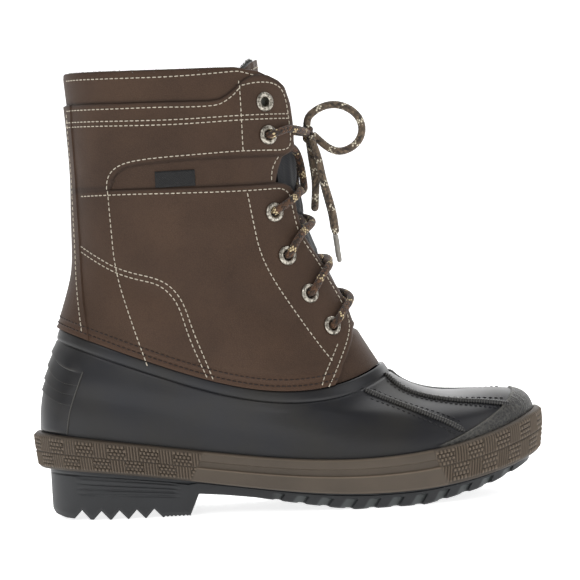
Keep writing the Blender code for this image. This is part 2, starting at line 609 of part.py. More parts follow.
def shaft_angles(levels, columns):
    """Angle of each column at each level: the first follows the throat, those behind stand still."""
    edge = throat_angle(levels)
    fade = ((math.pi - columns) / (math.pi - columns[0])) ** 3
    return columns + (edge - columns[0]) * fade


def leather_face(points, level, line_levels):
    """Offset of the shaft's face: quarter, upper panel and back strip stand over the base leather."""
    x = points[..., 0]
    quarter_top, recess_top, collar_seam = line_levels
    in_recess = (level > quarter_top) & (level < recess_top) & (x > RECESS_REAR_X)
    in_collar = (level > collar_seam) & (x < COLLAR_TAB_X)
    face = np.where(in_recess | in_collar, LEATHER_BASE, LEATHER_BASE + OVERLAY)
    strip_edge = np.interp(points[..., 2], [p.z for p in BACK_STRIP_EDGE], [p.x for p in BACK_STRIP_EDGE])
    return np.where((x < strip_edge) & ~in_collar, face + BACK_STRIP, face)


def build_leather_shaft():
    """Leather shaft: one wall round the leg, open at the collar, the throat and the hem."""
    rear = locate(RECESS_REAR_X, 203.0)[0]
    strip = locate(BACK_STRIP_X, 180.0)[0]
    tab = locate(COLLAR_TAB_X, 255.0)[0]
    columns = np.concatenate([
        SHAFT_START_ANGLE + np.array([0.0, 0.1, 0.2]), [tab - 0.22, tab - EDGE_HALF, tab + EDGE_HALF],
        np.linspace(tab + 0.2, rear - EDGE_HALF, 6), [rear + EDGE_HALF],
        np.linspace(rear + 0.12, strip - EDGE_HALF, 3), [strip + EDGE_HALF, (strip + math.pi) / 2, math.pi],
    ])
    lines = [levels_on_line(columns, line) for line in (QUARTER_TOP, RECESS_TOP, COLLAR_SEAM)]
    top = levels_on_line(columns, COLLAR_EDGE)
    rows = [np.full(len(columns), level) for level in SHAFT_ROWS]
    for line in lines:
        rows += [line - EDGE_HALF, line + EDGE_HALF]
    rows.insert(-2, (lines[1] + lines[2]) / 2)
    rows.append(top)
    # rows that would pass the collar's falling edge are held a little under it, in order
    room = np.linspace(0.05, 0.0, len(rows))[:, None]
    levels = np.minimum(np.array(rows), top - room)
    angles = shaft_angles(levels, columns)
    points = last_point(angles, levels)
    face = leather_face(points, levels, [line[None, :] for line in lines])
    lateral_face = wall_point(angles, levels, face)
    lateral_inner = wall_point(angles, levels, LEATHER_INNER)
    medial_face = wall_point(2 * math.pi - angles, levels, face)[:, -2::-1]
    medial_inner = wall_point(2 * math.pi - angles, levels, LEATHER_INNER)[:, -2::-1]
    shaft = sheet_solid(
        "leather_shaft", np.concatenate([lateral_face, medial_face], axis=1),
        np.concatenate([lateral_inner, medial_inner], axis=1), "brown_leather",
    )
    cut_eyelet_holes(shaft)
    return shaft


def eyelet_seats():
    """Side, angle, level, centre and normal of every eyelet."""
    seats = []
    for side in (LATERAL, MEDIAL):
        for place in EYELETS:
            angle, level = locate(place.x, place.z)
            angle = angle * side
            centre = wall_point(angle, level, EYELET_SEAT)
            seats.append((side, angle, level, Vector(centre), Vector(last_normal(angle, level))))
    return seats


def turned(section, sides, centre, axis):
    """Points of a section turned about an axis through a centre, one closed polygon for each side."""
    across = axis.orthogonal().normalized()
    beside = axis.cross(across)
    rings = []
    for i in range(sides):
        turn = 2 * math.pi * i / sides
        out = across * math.cos(turn) + beside * math.sin(turn)
        rings.append([centre + out * p.radius + axis * p.height for p in section])
    return np.array(rings)


def cut_eyelet_holes(shaft):
    """Holes through the shaft for the eyelet barrels."""
    points, faces = [], []
    for _, _, _, centre, axis in eyelet_seats():
        ends = (TurnPoint(EYELET_HOLE, -8.0), TurnPoint(EYELET_HOLE, 6.0))
        rings = turned(ends, EYELET_SIDES, centre, axis)
        base = len(points)
        points += list(rings[:, 0]) + list(rings[:, 1])
        low = [base + i for i in range(EYELET_SIDES)]
        high = [base + EYELET_SIDES + i for i in range(EYELET_SIDES)]
        faces += [tuple(low[::-1]), tuple(high)]
        for i in range(EYELET_SIDES):
            j = (i + 1) % EYELET_SIDES
            faces.append((low[i], low[j], high[j], high[i]))
    cutter = add_mesh("eyelet_hole_cutter", points, faces, "brown_leather")
    cutter.hide_render = True
    cutter.display_type = "WIRE"
    cut = shaft.modifiers.new("eyelet_holes", "BOOLEAN")
    cut.operation = "DIFFERENCE"
    cut.solver = "EXACT"
    cut.object = cutter


def build_eyelets():
    """Turned metal eyelets, one in each hole."""
    count = {LATERAL: 0, MEDIAL: 0}
    for side, _, _, centre, axis in eyelet_seats():
        count[side] += 1
        name = f"eyelet_{'lateral' if side == LATERAL else 'medial'}_{count[side]}"
        ring_solid(name, turned(EYELET_SECTION, EYELET_SIDES, centre, axis), "aged_nickel")


def build_tongue():
    """Tongue from the hem up past the collar, under the quarters and leaning back at its top."""
    across = np.linspace(-1.0, 1.0, TONGUE_COLUMNS)
    levels = np.array([row.level for row in TONGUE])[:, None]
    angles = np.array([row.half_angle for row in TONGUE])[:, None] * across
    face = np.array([row.face for row in TONGUE])[:, None]
    lean = np.array([(-row.lean, 0.0, 0.0) for row in TONGUE])[:, None, :]
    thick = np.array([row.thick for row in TONGUE])[:, None] * (1 - TONGUE_EDGE_THIN * across ** 4)
    outer = wall_point(angles, levels, face) + lean
    inner = wall_point(angles, levels, face - thick) + lean
    return sheet_solid("tongue", outer, inner, "tongue_nylon")


def tube_rings(path, radius, sides):
    """Rings of a round cord along a path, carried without twist."""
    path = [Vector(p) for p in path]
    rings = []
    across = None
    for i, point in enumerate(path):
        along = (path[min(i + 1, len(path) - 1)] - path[max(i - 1, 0)]).normalized()
        across = along.orthogonal() if across is None else across - along * across.dot(along)
        across.normalize()
        beside = along.cross(across)
        turns = [2 * math.pi * k / sides for k in range(sides)]
        rings.append([point + (across * math.cos(t) + beside * math.sin(t)) * radius for t in turns])
    return np.array(rings)


def cross_path(low, high, side):
    """Half of a crossing: from above an eyelet, over the throat, to the other flap's edge."""
    start_angle, start_level = locate(low.x, low.z)
    end_level = locate(high.x, high.z)[1]
    part = np.linspace(0.0, 1.0, CROSS_POINTS)
    levels = start_level + (end_level - start_level) * CROSS_RISE * part
    edge = throat_angle(levels)
    angles = start_angle + (CROSS_END_EASE - edge[-1] - start_angle) * part
    # in a narrow throat the cord stays above the flaps, in a wide one it sinks between them
    middle = np.interp(edge[-1], CROSS_THROAT, (OVER_EDGE, CROSS_MIDDLE))
    offsets = np.interp(angles / edge, (0.0, 1.0, 1.35), (middle, OVER_EDGE, CROSS_START))
    angles = side * angles
    return wall_point(angles, levels, offsets)


def build_lace_crossings():
    """Crossings of the lace over the tongue, each an X of two joined cords, and the top bar."""
    for i in range(LACED_EYELETS - 1):
        cords = []
        for side in (LATERAL, MEDIAL):
            rings = tube_rings(cross_path(EYELETS[i], EYELETS[i + 1], side), LACE_RADIUS, LACE_SIDES)
            cords.append(ring_solid(f"lace_cross_{i + 1}_{side}", rings, "lace_cord", closed=False))
        cords[0].name = f"lace_cross_{i + 1}"
        cords[1].name = f"lace_cross_{i + 1}_half"
        cords[1].hide_render = True
        cords[1].display_type = "WIRE"
        join = cords[0].modifiers.new("join", "BOOLEAN")
        join.operation = "UNION"
        join.solver = "EXACT"
        join.object = cords[1]
    top = EYELETS[LACED_EYELETS - 1]
    angle, level = locate(top.x, top.z)
    part = np.linspace(-1.0, 1.0, BAR_POINTS)
    offsets = np.interp(np.abs(part), BAR_PARTS, (BAR_MIDDLE, OVER_EDGE, CROSS_START, CROSS_START))
    rings = tube_rings(wall_point(angle * part, level + 0.0 * part, offsets), LACE_RADIUS, LACE_SIDES)
    ring_solid("lace_top_bar", rings, "lace_cord", closed=False)


def smooth_route(route, step):
    """Points about a step apart on a smooth curve through a route."""
    points = np.array(route)
    chord = np.concatenate([[0.0], np.cumsum(np.linalg.norm(np.diff(points, axis=0), axis=1))])
    return Spline(chord, points).at(np.linspace(0.0, chord[-1], max(4, round(chord[-1] / step) + 1)))


def add_cord(name, route):
    """Free cord as a bevelled curve through its route."""
    curve = bpy.data.curves.new(name, "CURVE")
    curve.dimensions = "3D"
    curve.bevel_depth = LACE_RADIUS * MM
    curve.bevel_resolution = 1
    curve.use_fill_caps = True
    points = smooth_route(route, ROUTE_STEP) * MM
    spline = curve.splines.new("POLY")
    spline.points.add(len(points) - 1)
    spline.points.foreach_set("co", np.column_stack([points, np.ones(len(points))]).ravel())
    curve.materials.append(material_for("lace_cord"))
    bpy.context.scene.collection.objects.link(bpy.data.objects.new(name, curve))


def build_knot():
    """Rounded body of the bow's knot."""
    points = [(0.0, 0.0, -1.0)]
    for i in range(1, KNOT_ROWS):
        dip = math.pi * i / KNOT_ROWS
        for k in range(KNOT_COLUMNS):
            turn = 2 * math.pi * k / KNOT_COLUMNS
            points.append((math.sin(dip) * math.cos(turn), math.sin(dip) * math.sin(turn), -math.cos(dip)))
    points.append((0.0, 0.0, 1.0))
    faces = []
    top = len(points) - 1
    for k in range(KNOT_COLUMNS):
        after = (k + 1) % KNOT_COLUMNS
        faces.append((0, 1 + after, 1 + k))
        faces.append((top, top - KNOT_COLUMNS + k, top - KNOT_COLUMNS + after))
        for i in range(KNOT_ROWS - 2):
            base = 1 + i * KNOT_COLUMNS
            above = base + KNOT_COLUMNS
            faces.append((base + k, base + after, above + after, above + k))
    add_mesh("lace_knot", np.array(points) * KNOT_RADII + KNOT_CENTRE, faces, "lace_cord")


def build_bow():
    """Knot, two loops and two ends of the bow, with an aglet on each end."""
    build_knot()
    add_cord("lace_loop_front", FRONT_LOOP)
    add_cord("lace_loop_drop", DROP_LOOP)
    for name, route in (("lateral", LATERAL_END), ("medial", MEDIAL_END)):
        add_cord(f"lace_end_{name}", route)
        tip, before = Vector(route[-1]), Vector(route[-2])
        along = (tip - before).normalized()
        section = [tip + along * (GAP + AGLET_LENGTH * part) for part in (0.0, 0.5, 1.0)]
        rings = tube_rings(section, AGLET_RADIUS, LACE_SIDES)
        ring_solid(f"aglet_{name}", rings, "clear_aglet", closed=False)


def build_label():
    """Small woven label sewn into the recess of the lateral side."""
    columns = np.linspace(*LABEL_X, 6)
    rows = np.linspace(*LABEL_Z, 3)
    spots = np.array([[locate(x, z) for x in columns] for z in rows])
    back, front = [wall_point(spots[..., 0], spots[..., 1], offset) for offset in LABEL_FACES]
    return sheet_solid("side_label", front, back, "black_weave")


def main():
    """Clear the scene and build every piece."""
    for piece in list(bpy.data.objects):
        bpy.data.objects.remove(piece, do_unlink=True)
    build_outsole()
    build_rand()
    build_rubber_shell()
    build_insole()
    build_leather_shaft()
    build_tongue()
    build_eyelets()
    build_lace_crossings()
    build_bow()
    build_label()


main()
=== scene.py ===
"""Visual model of a laced insulated right boot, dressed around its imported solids.

The frame is +X to the toe, +Y to the inner (medial) side and +Z up, with the floor at z = 0.
Shapes are worked out in millimetres on numpy grids and stored in metres. Every wall of the boot is
a level of one last: an angle runs round it (0 at the front centre, pi at the back centre, the outer
or lateral half between them) and a level runs up it (0 at the sole edge, about 11.6 at the collar).
"""

import logging
import math
from dataclasses import dataclass
from enum import Enum
from functools import partial
from typing import Callable, NamedTuple, Sequence

import bmesh
import bpy
import numpy as np
from mathutils import Matrix

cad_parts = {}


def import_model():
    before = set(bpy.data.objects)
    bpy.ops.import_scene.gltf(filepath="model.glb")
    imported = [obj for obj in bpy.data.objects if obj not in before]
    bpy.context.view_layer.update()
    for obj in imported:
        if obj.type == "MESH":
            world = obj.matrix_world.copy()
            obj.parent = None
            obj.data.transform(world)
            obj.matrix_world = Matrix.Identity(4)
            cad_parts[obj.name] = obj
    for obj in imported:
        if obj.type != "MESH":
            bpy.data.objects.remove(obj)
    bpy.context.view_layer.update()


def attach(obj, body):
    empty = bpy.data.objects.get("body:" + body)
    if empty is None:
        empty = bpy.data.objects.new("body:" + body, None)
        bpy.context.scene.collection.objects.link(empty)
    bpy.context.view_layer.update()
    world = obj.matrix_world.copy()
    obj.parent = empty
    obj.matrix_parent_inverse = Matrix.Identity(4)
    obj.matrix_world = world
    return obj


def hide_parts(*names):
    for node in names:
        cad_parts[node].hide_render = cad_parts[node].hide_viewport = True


Array = np.ndarray
Piece = bpy.types.Object
LOG = logging.getLogger("boot")
MM = 0.001
TURN = 2 * math.pi
BODY = "root"


class Side(Enum):
    """The two sides of the boot, with the sign of their angles on the last."""

    LATERAL = 1
    MEDIAL = -1


class Girth(NamedTuple):
    """One girth loop of the last; widths are half widths of its lateral and medial side."""

    level: float
    back_x: float
    front_x: float
    z_back: float
    z_third: float
    z_two_thirds: float
    z_front: float
    heel_lateral: float
    heel_medial: float
    ball_lateral: float
    ball_medial: float
    waist_lateral: float
    waist_medial: float
    heel_at: float
    ball_at: float
    back_round: float
    front_round: float


GIRTHS = (
    Girth(0.0, -149.0, 148.5, 31.6, 19.8, 9.0, 24.0, 36.0, 35.0, 52.0, 49.5, 2, 7, 0.20, 0.66, 2.2, 2.3),
    Girth(1.0, -151.0, 150.2, 53.6, 39.0, 30.5, 50.5, 37.5, 36.5, 53.0, 50.5, 2, 6, 0.20, 0.66, 2.2, 2.4),
    Girth(1.6, -150.5, 143.0, 66.0, 51.5, 40.5, 61.0, 38.0, 37.0, 52.5, 50.0, 2, 5, 0.20, 0.67, 2.2, 2.4),
    Girth(2.4, -149.0, 118.0, 78.0, 62.0, 49.5, 64.0, 38.0, 37.5, 50.5, 48.5, 1, 4, 0.21, 0.70, 2.2, 2.3),
    Girth(3.3, -145.5, 88.0, 91.0, 72.5, 58.0, 65.7, 38.5, 38.0, 48.0, 46.5, 0, 2, 0.22, 0.74, 2.2, 2.2),
    Girth(4.2, -138.5, 63.0, 110.0, 84.0, 66.5, 78.5, 39.0, 38.5, 46.5, 45.5, 0, 1, 0.25, 0.70, 2.2, 2.2),
    Girth(4.5, -136.2, 59.5, 116.0, 90.5, 73.0, 84.0, 39.5, 39.0, 46.0, 45.0, 0, 0, 0.26, 0.68, 2.2, 2.2),
    Girth(5.3, -131.8, 47.5, 127.5, 109.0, 97.0, 105.0, 40.5, 40.0, 45.5, 44.5, 0, 0, 0.30, 0.62, 2.2, 2.2),
    Girth(6.2, -126.6, 40.0, 143.0, 130.0, 121.5, 124.0, 41.5, 41.0, 45.0, 44.5, 0, 0, 0.34, 0.58, 2.2, 2.2),
    Girth(7.1, -124.3, 30.5, 158.0, 150.5, 145.5, 146.0, 43.0, 42.5, 45.0, 45.0, 0, 0, 0.38, 0.56, 2.2, 2.3),
    Girth(8.1, -123.3, 21.5, 182.0, 177.0, 173.0, 170.0, 44.5, 44.5, 45.5, 45.5, 0, 0, 0.42, 0.55, 2.2, 2.3),
    Girth(9.1, -122.5, 18.6, 207.0, 204.0, 200.5, 198.0, 46.0, 46.0, 46.5, 46.5, 0, 0, 0.45, 0.55, 2.2, 2.3),
    Girth(10.3, -123.1, 18.5, 237.0, 235.0, 232.0, 229.0, 47.0, 47.0, 47.5, 47.5, 0, 0, 0.46, 0.54, 2.2, 2.3),
    Girth(11.6, -125.2, 15.5, 270.0, 267.5, 266.5, 258.0, 48.0, 48.0, 48.5, 48.5, 0, 0, 0.46, 0.54, 2.2, 2.3),
)


class Spot(NamedTuple):
    """A point of the side view."""

    x: float
    z: float


def spots(*pairs: tuple[float, float]) -> tuple[Spot, ...]:
    """Side-view line through the pairs of x and z."""
    return tuple(Spot(*pair) for pair in pairs)


THROAT_EDGE = spots(
    (27.0, 71.5), (34.5, 86.0), (40.0, 98.0), (42.3, 109.0), (38.5, 122.0), (31.8, 134.4), (23.6, 149.5),
    (15.5, 164.0), (12.4, 176.0), (11.2, 183.0), (10.2, 191.0), (8.6, 193.8), (5.4, 195.8), (0.8, 196.8),
    (1.6, 200.5), (3.4, 206.5), (5.2, 211.5), (7.6, 213.6), (10.6, 215.2), (12.0, 218.4), (12.4, 229.0),
    (11.4, 244.0), (8.5, 254.0),
)
QUARTER_TOP = spots(
    (-130.0, 198.3), (-99.0, 198.0), (-50.0, 196.7), (-18.0, 196.2), (0.0, 196.5), (20.0, 196.2),
)
RECESS_TOP = spots(
    (-130.0, 198.5), (-97.6, 198.1), (-96.6, 200.3), (-95.4, 204.0), (-93.0, 207.4), (-88.0, 210.4),
    (-80.0, 211.9), (-67.0, 212.7), (-49.0, 213.3), (-20.0, 213.1), (20.0, 212.8),
)
COLLAR_SEAM = spots(
    (-130.0, 251.2), (-89.0, 249.0), (-59.0, 248.0), (-36.0, 247.2), (-30.0, 247.9), (-25.0, 250.4),
    (-20.0, 254.6), (-15.5, 258.6), (-11.5, 260.6), (-6.0, 261.6), (0.0, 260.8), (20.0, 255.0),
)
COLLAR_EDGE = spots(
    (-130.0, 270.0), (-88.0, 268.0), (-52.0, 267.0), (-20.0, 266.5), (-7.0, 264.0), (4.0, 258.0),
    (9.0, 253.0), (20.0, 249.0),
)
BACK_STRIP_EDGE = spots((-115.5, 106.0), (-117.6, 132.0), (-118.0, 150.0), (-118.6, 260.0))
EYELET_SPOTS = spots(
    (28.6, 108.7), (16.4, 129.1), (4.3, 152.5), (-1.9, 179.0), (-3.0, 225.3), (-4.0, 245.0),
)

# Offsets from the last and levels of it
SHELL_WALL = 3.6
LAP_OUTER, LAP_INNER = -2.6, -4.0
LEATHER_INNER = -1.8
LEATHER_BASE = 0.4
OVERLAY = 1.2
BACK_STRIP = 0.9
RAND_TOP, LIP_LEVEL, SHELL_TOP, HEM_LEVEL = 1.0, 4.2, 4.45, 4.5
# Heights of the hem's two rows of stitches above its edge
HEM_ROWS = (3.2, 7.2)
EYELET_SEAT = LEATHER_BASE + OVERLAY
LACE_RADIUS = 2.3


def smooth(low: float, high: float, value: Array) -> Array:
    """Smooth step from 0 at low to 1 at high."""
    part = np.clip((np.asarray(value, dtype=float) - low) / (high - low), 0, 1)
    return part * part * (3 - 2 * part)


def along_line(line: Sequence[Spot], x: Array) -> Array:
    """Height of a side-view line at x."""
    return np.interp(x, *np.transpose(line))


def across_line(line: Sequence[Spot], z: Array) -> Array:
    """The x of a rising side-view line at a height."""
    return np.interp(z, *np.transpose(line)[::-1])


def unit(vectors: Array) -> Array:
    """Vectors scaled to length one."""
    return vectors / np.maximum(np.linalg.norm(vectors, axis=-1, keepdims=True), 1e-9)


def square_to(normals: Array, vectors: Array) -> Array:
    """Vectors laid square to unit normals and scaled to length one."""
    return unit(vectors - normals * (vectors * normals).sum(-1, keepdims=True))


def grid_points(*coordinates: Array) -> Array:
    """Points of a grid, from coordinates that spread over it."""
    return np.stack(np.broadcast_arrays(*coordinates), axis=-1)


def rows_at(places: Array, run: Array, rows: Array) -> Array:
    """Rows of a table at places along a run, read between its points."""
    return np.stack([np.interp(places, run, column) for column in rows.T], axis=1)


def both_halves(lateral: Array, sign: int = 1) -> Array:
    """Values of a lateral half, then of its medial twin past the back centre that they share."""
    return np.concatenate([lateral, sign * lateral[..., -2::-1]], axis=-1)


def ripple(place: Array, seed: int, waves: Sequence[float], height: float) -> Array:
    """Gentle unevenness: sines of several wavelengths, in seeded directions, added up.

    Args:
        place: points in millimetres.
        seed: seed of the directions and phases.
        waves: wavelengths in millimetres.
        height: greatest height of each sine.

    Returns:
        Height at each point.
    """
    rng = np.random.default_rng(seed)
    total = np.zeros(place.shape[:-1])
    for wave in waves:
        way = unit(rng.normal(size=(3, 3)))
        phase = rng.uniform(0, TURN, 3)
        total += np.sin(place @ way.T * (TURN / wave) + phase).sum(-1) * height / 3
    return total


class Spline:
    """Natural cubic spline through the rows of a table."""

    def __init__(self, knots: Sequence[float], rows: Array) -> None:
        """Solve the bends at the knots.

        Args:
            knots: rising places of the rows.
            rows: values at the knots, one row each.
        """
        self.knots = np.asarray(knots, dtype=float)
        self.rows = np.asarray(rows, dtype=float)
        count = len(self.knots)
        step = np.diff(self.knots)
        slope = np.diff(self.rows, axis=0) / step[:, None]
        matrix = np.eye(count)
        inner = np.arange(1, count - 1)
        matrix[inner, inner - 1] = step[:-1]
        matrix[inner, inner] = 2 * (step[:-1] + step[1:])
        matrix[inner, inner + 1] = step[1:]
        right = np.zeros_like(self.rows)
        right[1:-1] = 6 * np.diff(slope, axis=0)
        self.bend = np.linalg.solve(matrix, right)

    def at(self, place: Array) -> Array:
        """Row of values at each place; past the ends the last piece goes on."""
        place = np.asarray(place, dtype=float)
        i = np.clip(np.searchsorted(self.knots, place) - 1, 0, len(self.knots) - 2)
        step = self.knots[i + 1] - self.knots[i]
        high = ((place - self.knots[i]) / step)[..., None]
        low = 1 - high
        curve = (low ** 3 - low) * self.bend[i] + (high ** 3 - high) * self.bend[i + 1]
        return low * self.rows[i] + high * self.rows[i + 1] + curve * (step ** 2)[..., None] / 6


def run_length(points: Array) -> Array:
    """Length run along a polyline at each of its points."""
    return np.concatenate([[0.0], np.cumsum(np.linalg.norm(np.diff(points, axis=0), axis=1))])


def even_route(points: Array, step: float) -> Array:
    """Points an even step apart on a smooth curve through a route.

    Args:
        points: route, one point a row.
        step: wanted distance between points.

    Returns:
        The new points.
    """
    points = np.asarray(points, dtype=float)
    chord = run_length(points)
    fine = Spline(chord, points).at(np.linspace(0, chord[-1], 40 * len(points)))
    length = run_length(fine)
    places = np.linspace(0, length[-1], max(4, round(length[-1] / step) + 1))
    return rows_at(places, length, fine)


class Last:
    """The boot's last: a smooth surface through the girth loops."""

    SWING, SWING_FROM, SWING_TO = 9.0, -20.0, 151.0
    Y_CENTRE = -0.4

    def __init__(self) -> None:
        """Spline the girths and keep a grid of side-view points to start searches from."""
        self.table = Spline([row.level for row in GIRTHS], [row[1:] for row in GIRTHS])
        angles, levels = np.meshgrid(np.linspace(0.03, 3.1, 60), np.linspace(0.0, 12.3, 80), indexing="ij")
        self.grid = np.stack([angles.ravel(), levels.ravel()], axis=1)
        self.grid_seen = self.point(self.grid[:, 0], self.grid[:, 1])[:, ::2]

    def row(self, level: Array) -> Girth:
        """Girth loop at each level."""
        return Girth(level, *np.moveaxis(self.table.at(level), -1, 0))

    @staticmethod
    def height(along: Array, row: Girth) -> Array:
        """Cubic through the four heights of a loop, at 0, 1/3, 2/3 and 1 of its length."""
        b, c, d = along - 1 / 3, along - 2 / 3, along - 1
        back = -4.5 * b * c * d * row.z_back + 13.5 * along * c * d * row.z_third
        return back - 13.5 * along * b * d * row.z_two_thirds + 4.5 * along * b * c * row.z_front

    def point(self, angle: Array, level: Array) -> Array:
        """Point of the last: half widths ease from heel to ball and round off at both ends.

        Args:
            angle: place round the loop.
            level: place up the last.

        Returns:
            Points in millimetres.
        """
        angle, level = np.broadcast_arrays(np.asarray(angle, dtype=float), np.asarray(level, dtype=float))
        row = self.row(level)
        along = (1 + np.cos(angle)) / 2
        lateral = np.sin(angle) >= 0
        heel = np.where(lateral, row.heel_lateral, row.heel_medial)
        ball = np.where(lateral, row.ball_lateral, row.ball_medial)
        waist = np.where(lateral, row.waist_lateral, row.waist_medial)
        back = np.clip(1 - along / row.heel_at, 0, 1)
        front = np.clip((along - row.ball_at) / (1 - row.ball_at), 0, 1)
        middle = np.clip((along - row.heel_at) / (row.ball_at - row.heel_at), 0, 1)
        half = heel + (ball - heel) * (1 - np.cos(math.pi * middle)) / 2
        half = half - waist * np.sin(math.pi * middle) ** 2
        half = half * np.sqrt(np.clip(1 - back ** row.back_round, 0, 1))
        half = half * np.sqrt(np.clip(1 - front ** row.front_round, 0, 1))
        x = row.back_x + along * (row.front_x - row.back_x)
        swing = self.SWING * np.clip((x - self.SWING_FROM) / (self.SWING_TO - self.SWING_FROM), 0, 2) ** 2
        y = np.where(lateral, -half, half) + swing + self.Y_CENTRE
        return np.stack([x, y, self.height(along, row)], axis=-1)

    def normal(self, angle: Array, level: Array) -> Array:
        """Unit normal of the last, pointing out of the boot."""
        tiny = 1e-3
        around = self.point(angle + tiny, level) - self.point(angle - tiny, level)
        upward = self.point(angle, level + tiny) - self.point(angle, level - tiny)
        return unit(np.cross(upward, around))

    def wall(self, angle: Array, level: Array, offset: Array) -> Array:
        """Point of the last moved out along its normal by an offset."""
        angle, level, offset = np.broadcast_arrays(angle, level, offset)
        return self.point(angle, level) + self.normal(angle, level) * np.asarray(offset)[..., None]

    def locate(self, x: Array, z: Array) -> tuple[Array, Array]:
        """Angles and levels of lateral points seen from the side, by Newton steps from a grid.

        Args:
            x: side-view x.
            z: side-view z.

        Returns:
            Angle and level of each point.
        """
        goal = grid_points(x, z).astype(float)
        flat = goal.reshape(-1, 2)
        apart = ((flat[:, None, :] - self.grid_seen[None]) ** 2).sum(-1)
        guess = self.grid[np.argmin(apart, axis=1)]
        tiny = 1e-4
        for _ in range(9):
            here = self.point(guess[:, 0], guess[:, 1])[:, ::2]
            by_angle = (self.point(guess[:, 0] + tiny, guess[:, 1])[:, ::2] - here) / tiny
            by_level = (self.point(guess[:, 0], guess[:, 1] + tiny)[:, ::2] - here) / tiny
            move = np.linalg.solve(np.stack([by_angle, by_level], axis=-1), (flat - here)[..., None])[..., 0]
            guess = guess + np.clip(move, -0.2, 0.2)
            guess[:, 0] = np.clip(guess[:, 0], 1e-3, math.pi)
        return guess[:, 0].reshape(goal.shape[:-1]), guess[:, 1].reshape(goal.shape[:-1])

    def outline(self, level: float, offset: float, side: Side) -> tuple[Array, Array]:
        """Half outline of a loop seen from above, as x rising with the y of one side.

        Args:
            level: level of the loop.
            offset: how far it is moved outwards in plan.
            side: which half.

        Returns:
            The x and y of the outline.
        """
        angles = np.linspace(0.0, math.pi, 900) * side.value
        loop = self.point(angles, level)[:, :2]
        step = np.gradient(loop, axis=0)
        out = unit(np.stack([step[:, 1], -step[:, 0]], axis=1)) * (-side.value)
        loop = loop + offset * out
        return loop[::-1, 0], loop[::-1, 1]

    def sole_height(self, x: Array, level: float) -> Array:
        """Height of a loop's edge at x."""
        row = self.row(np.asarray(level))
        return self.height((x - row.back_x) / (row.front_x - row.back_x), row)

    def throat(self, level: Array) -> Array:
        """Angle of the quarter's front edge at each level."""
        angles, levels = self.locate(*np.transpose(THROAT_EDGE))
        return np.interp(level, levels, angles)


def rgb(code: str) -> tuple[float, float, float, float]:
    """Linear colour with alpha from an sRGB hex code such as 4d3f36."""
    parts = np.array([int(code[i:i + 2], 16) for i in (0, 2, 4)]) / 255
    linear = np.where(parts <= 0.04045, parts / 12.92, ((parts + 0.055) / 1.055) ** 2.4)
    return (*linear.tolist(), 1.0)


def per_mm(size: float) -> float:
    """Texture scale that gives a pattern of this size, in millimetres, on coordinates in metres."""
    return 1 / (size * MM)


Socket = bpy.types.NodeSocket
Adder = Callable[..., Socket]
# Sockets of the colour version of the Mix node
MIX_A, MIX_B, MIX_OUT = 6, 7, 2


def feed(tree: bpy.types.NodeTree, node: bpy.types.Node, inputs: dict) -> None:
    """Link or set inputs of a node.

    Args:
        tree: node tree of the material.
        node: one of its nodes.
        inputs: input socket to the output that feeds it, or to a value.
    """
    for key, value in inputs.items():
        if isinstance(value, Socket):
            tree.links.new(value, node.inputs[key])
        else:
            node.inputs[key].default_value = value


def add_node(
    tree: bpy.types.NodeTree, kind: str, inputs: dict | None = None, out: str | int = 0, **settings
) -> Socket:
    """Add a shader node.

    Args:
        tree: node tree of the material.
        kind: node type, without its ShaderNode prefix.
        inputs: input socket to the output that feeds it, or to a value.
        out: which of its outputs is wanted.
        settings: properties of the node.

    Returns:
        That output.
    """
    node = tree.nodes.new("ShaderNode" + kind)
    for key, value in settings.items():
        setattr(node, key, value)
    feed(tree, node, inputs or {})
    return node.outputs[out]


@dataclass(frozen=True)
class Finish:
    """A material of the boot, with the slot that it belongs to."""

    name: str
    slot: str

    def material(self) -> bpy.types.Material:
        """The Blender material, made once."""
        made = bpy.data.materials.get(self.name)
        if made is None:
            made = bpy.data.materials.new(self.name)
            made.use_nodes = True
            tree = made.node_tree
            feed(tree, tree.nodes["Principled BSDF"], self.dress(partial(add_node, tree)))
        return made

    def dress(self, add: Adder) -> dict:
        """Inputs of the shader, with the nodes that feed them added to the material's tree."""
        raise NotImplementedError


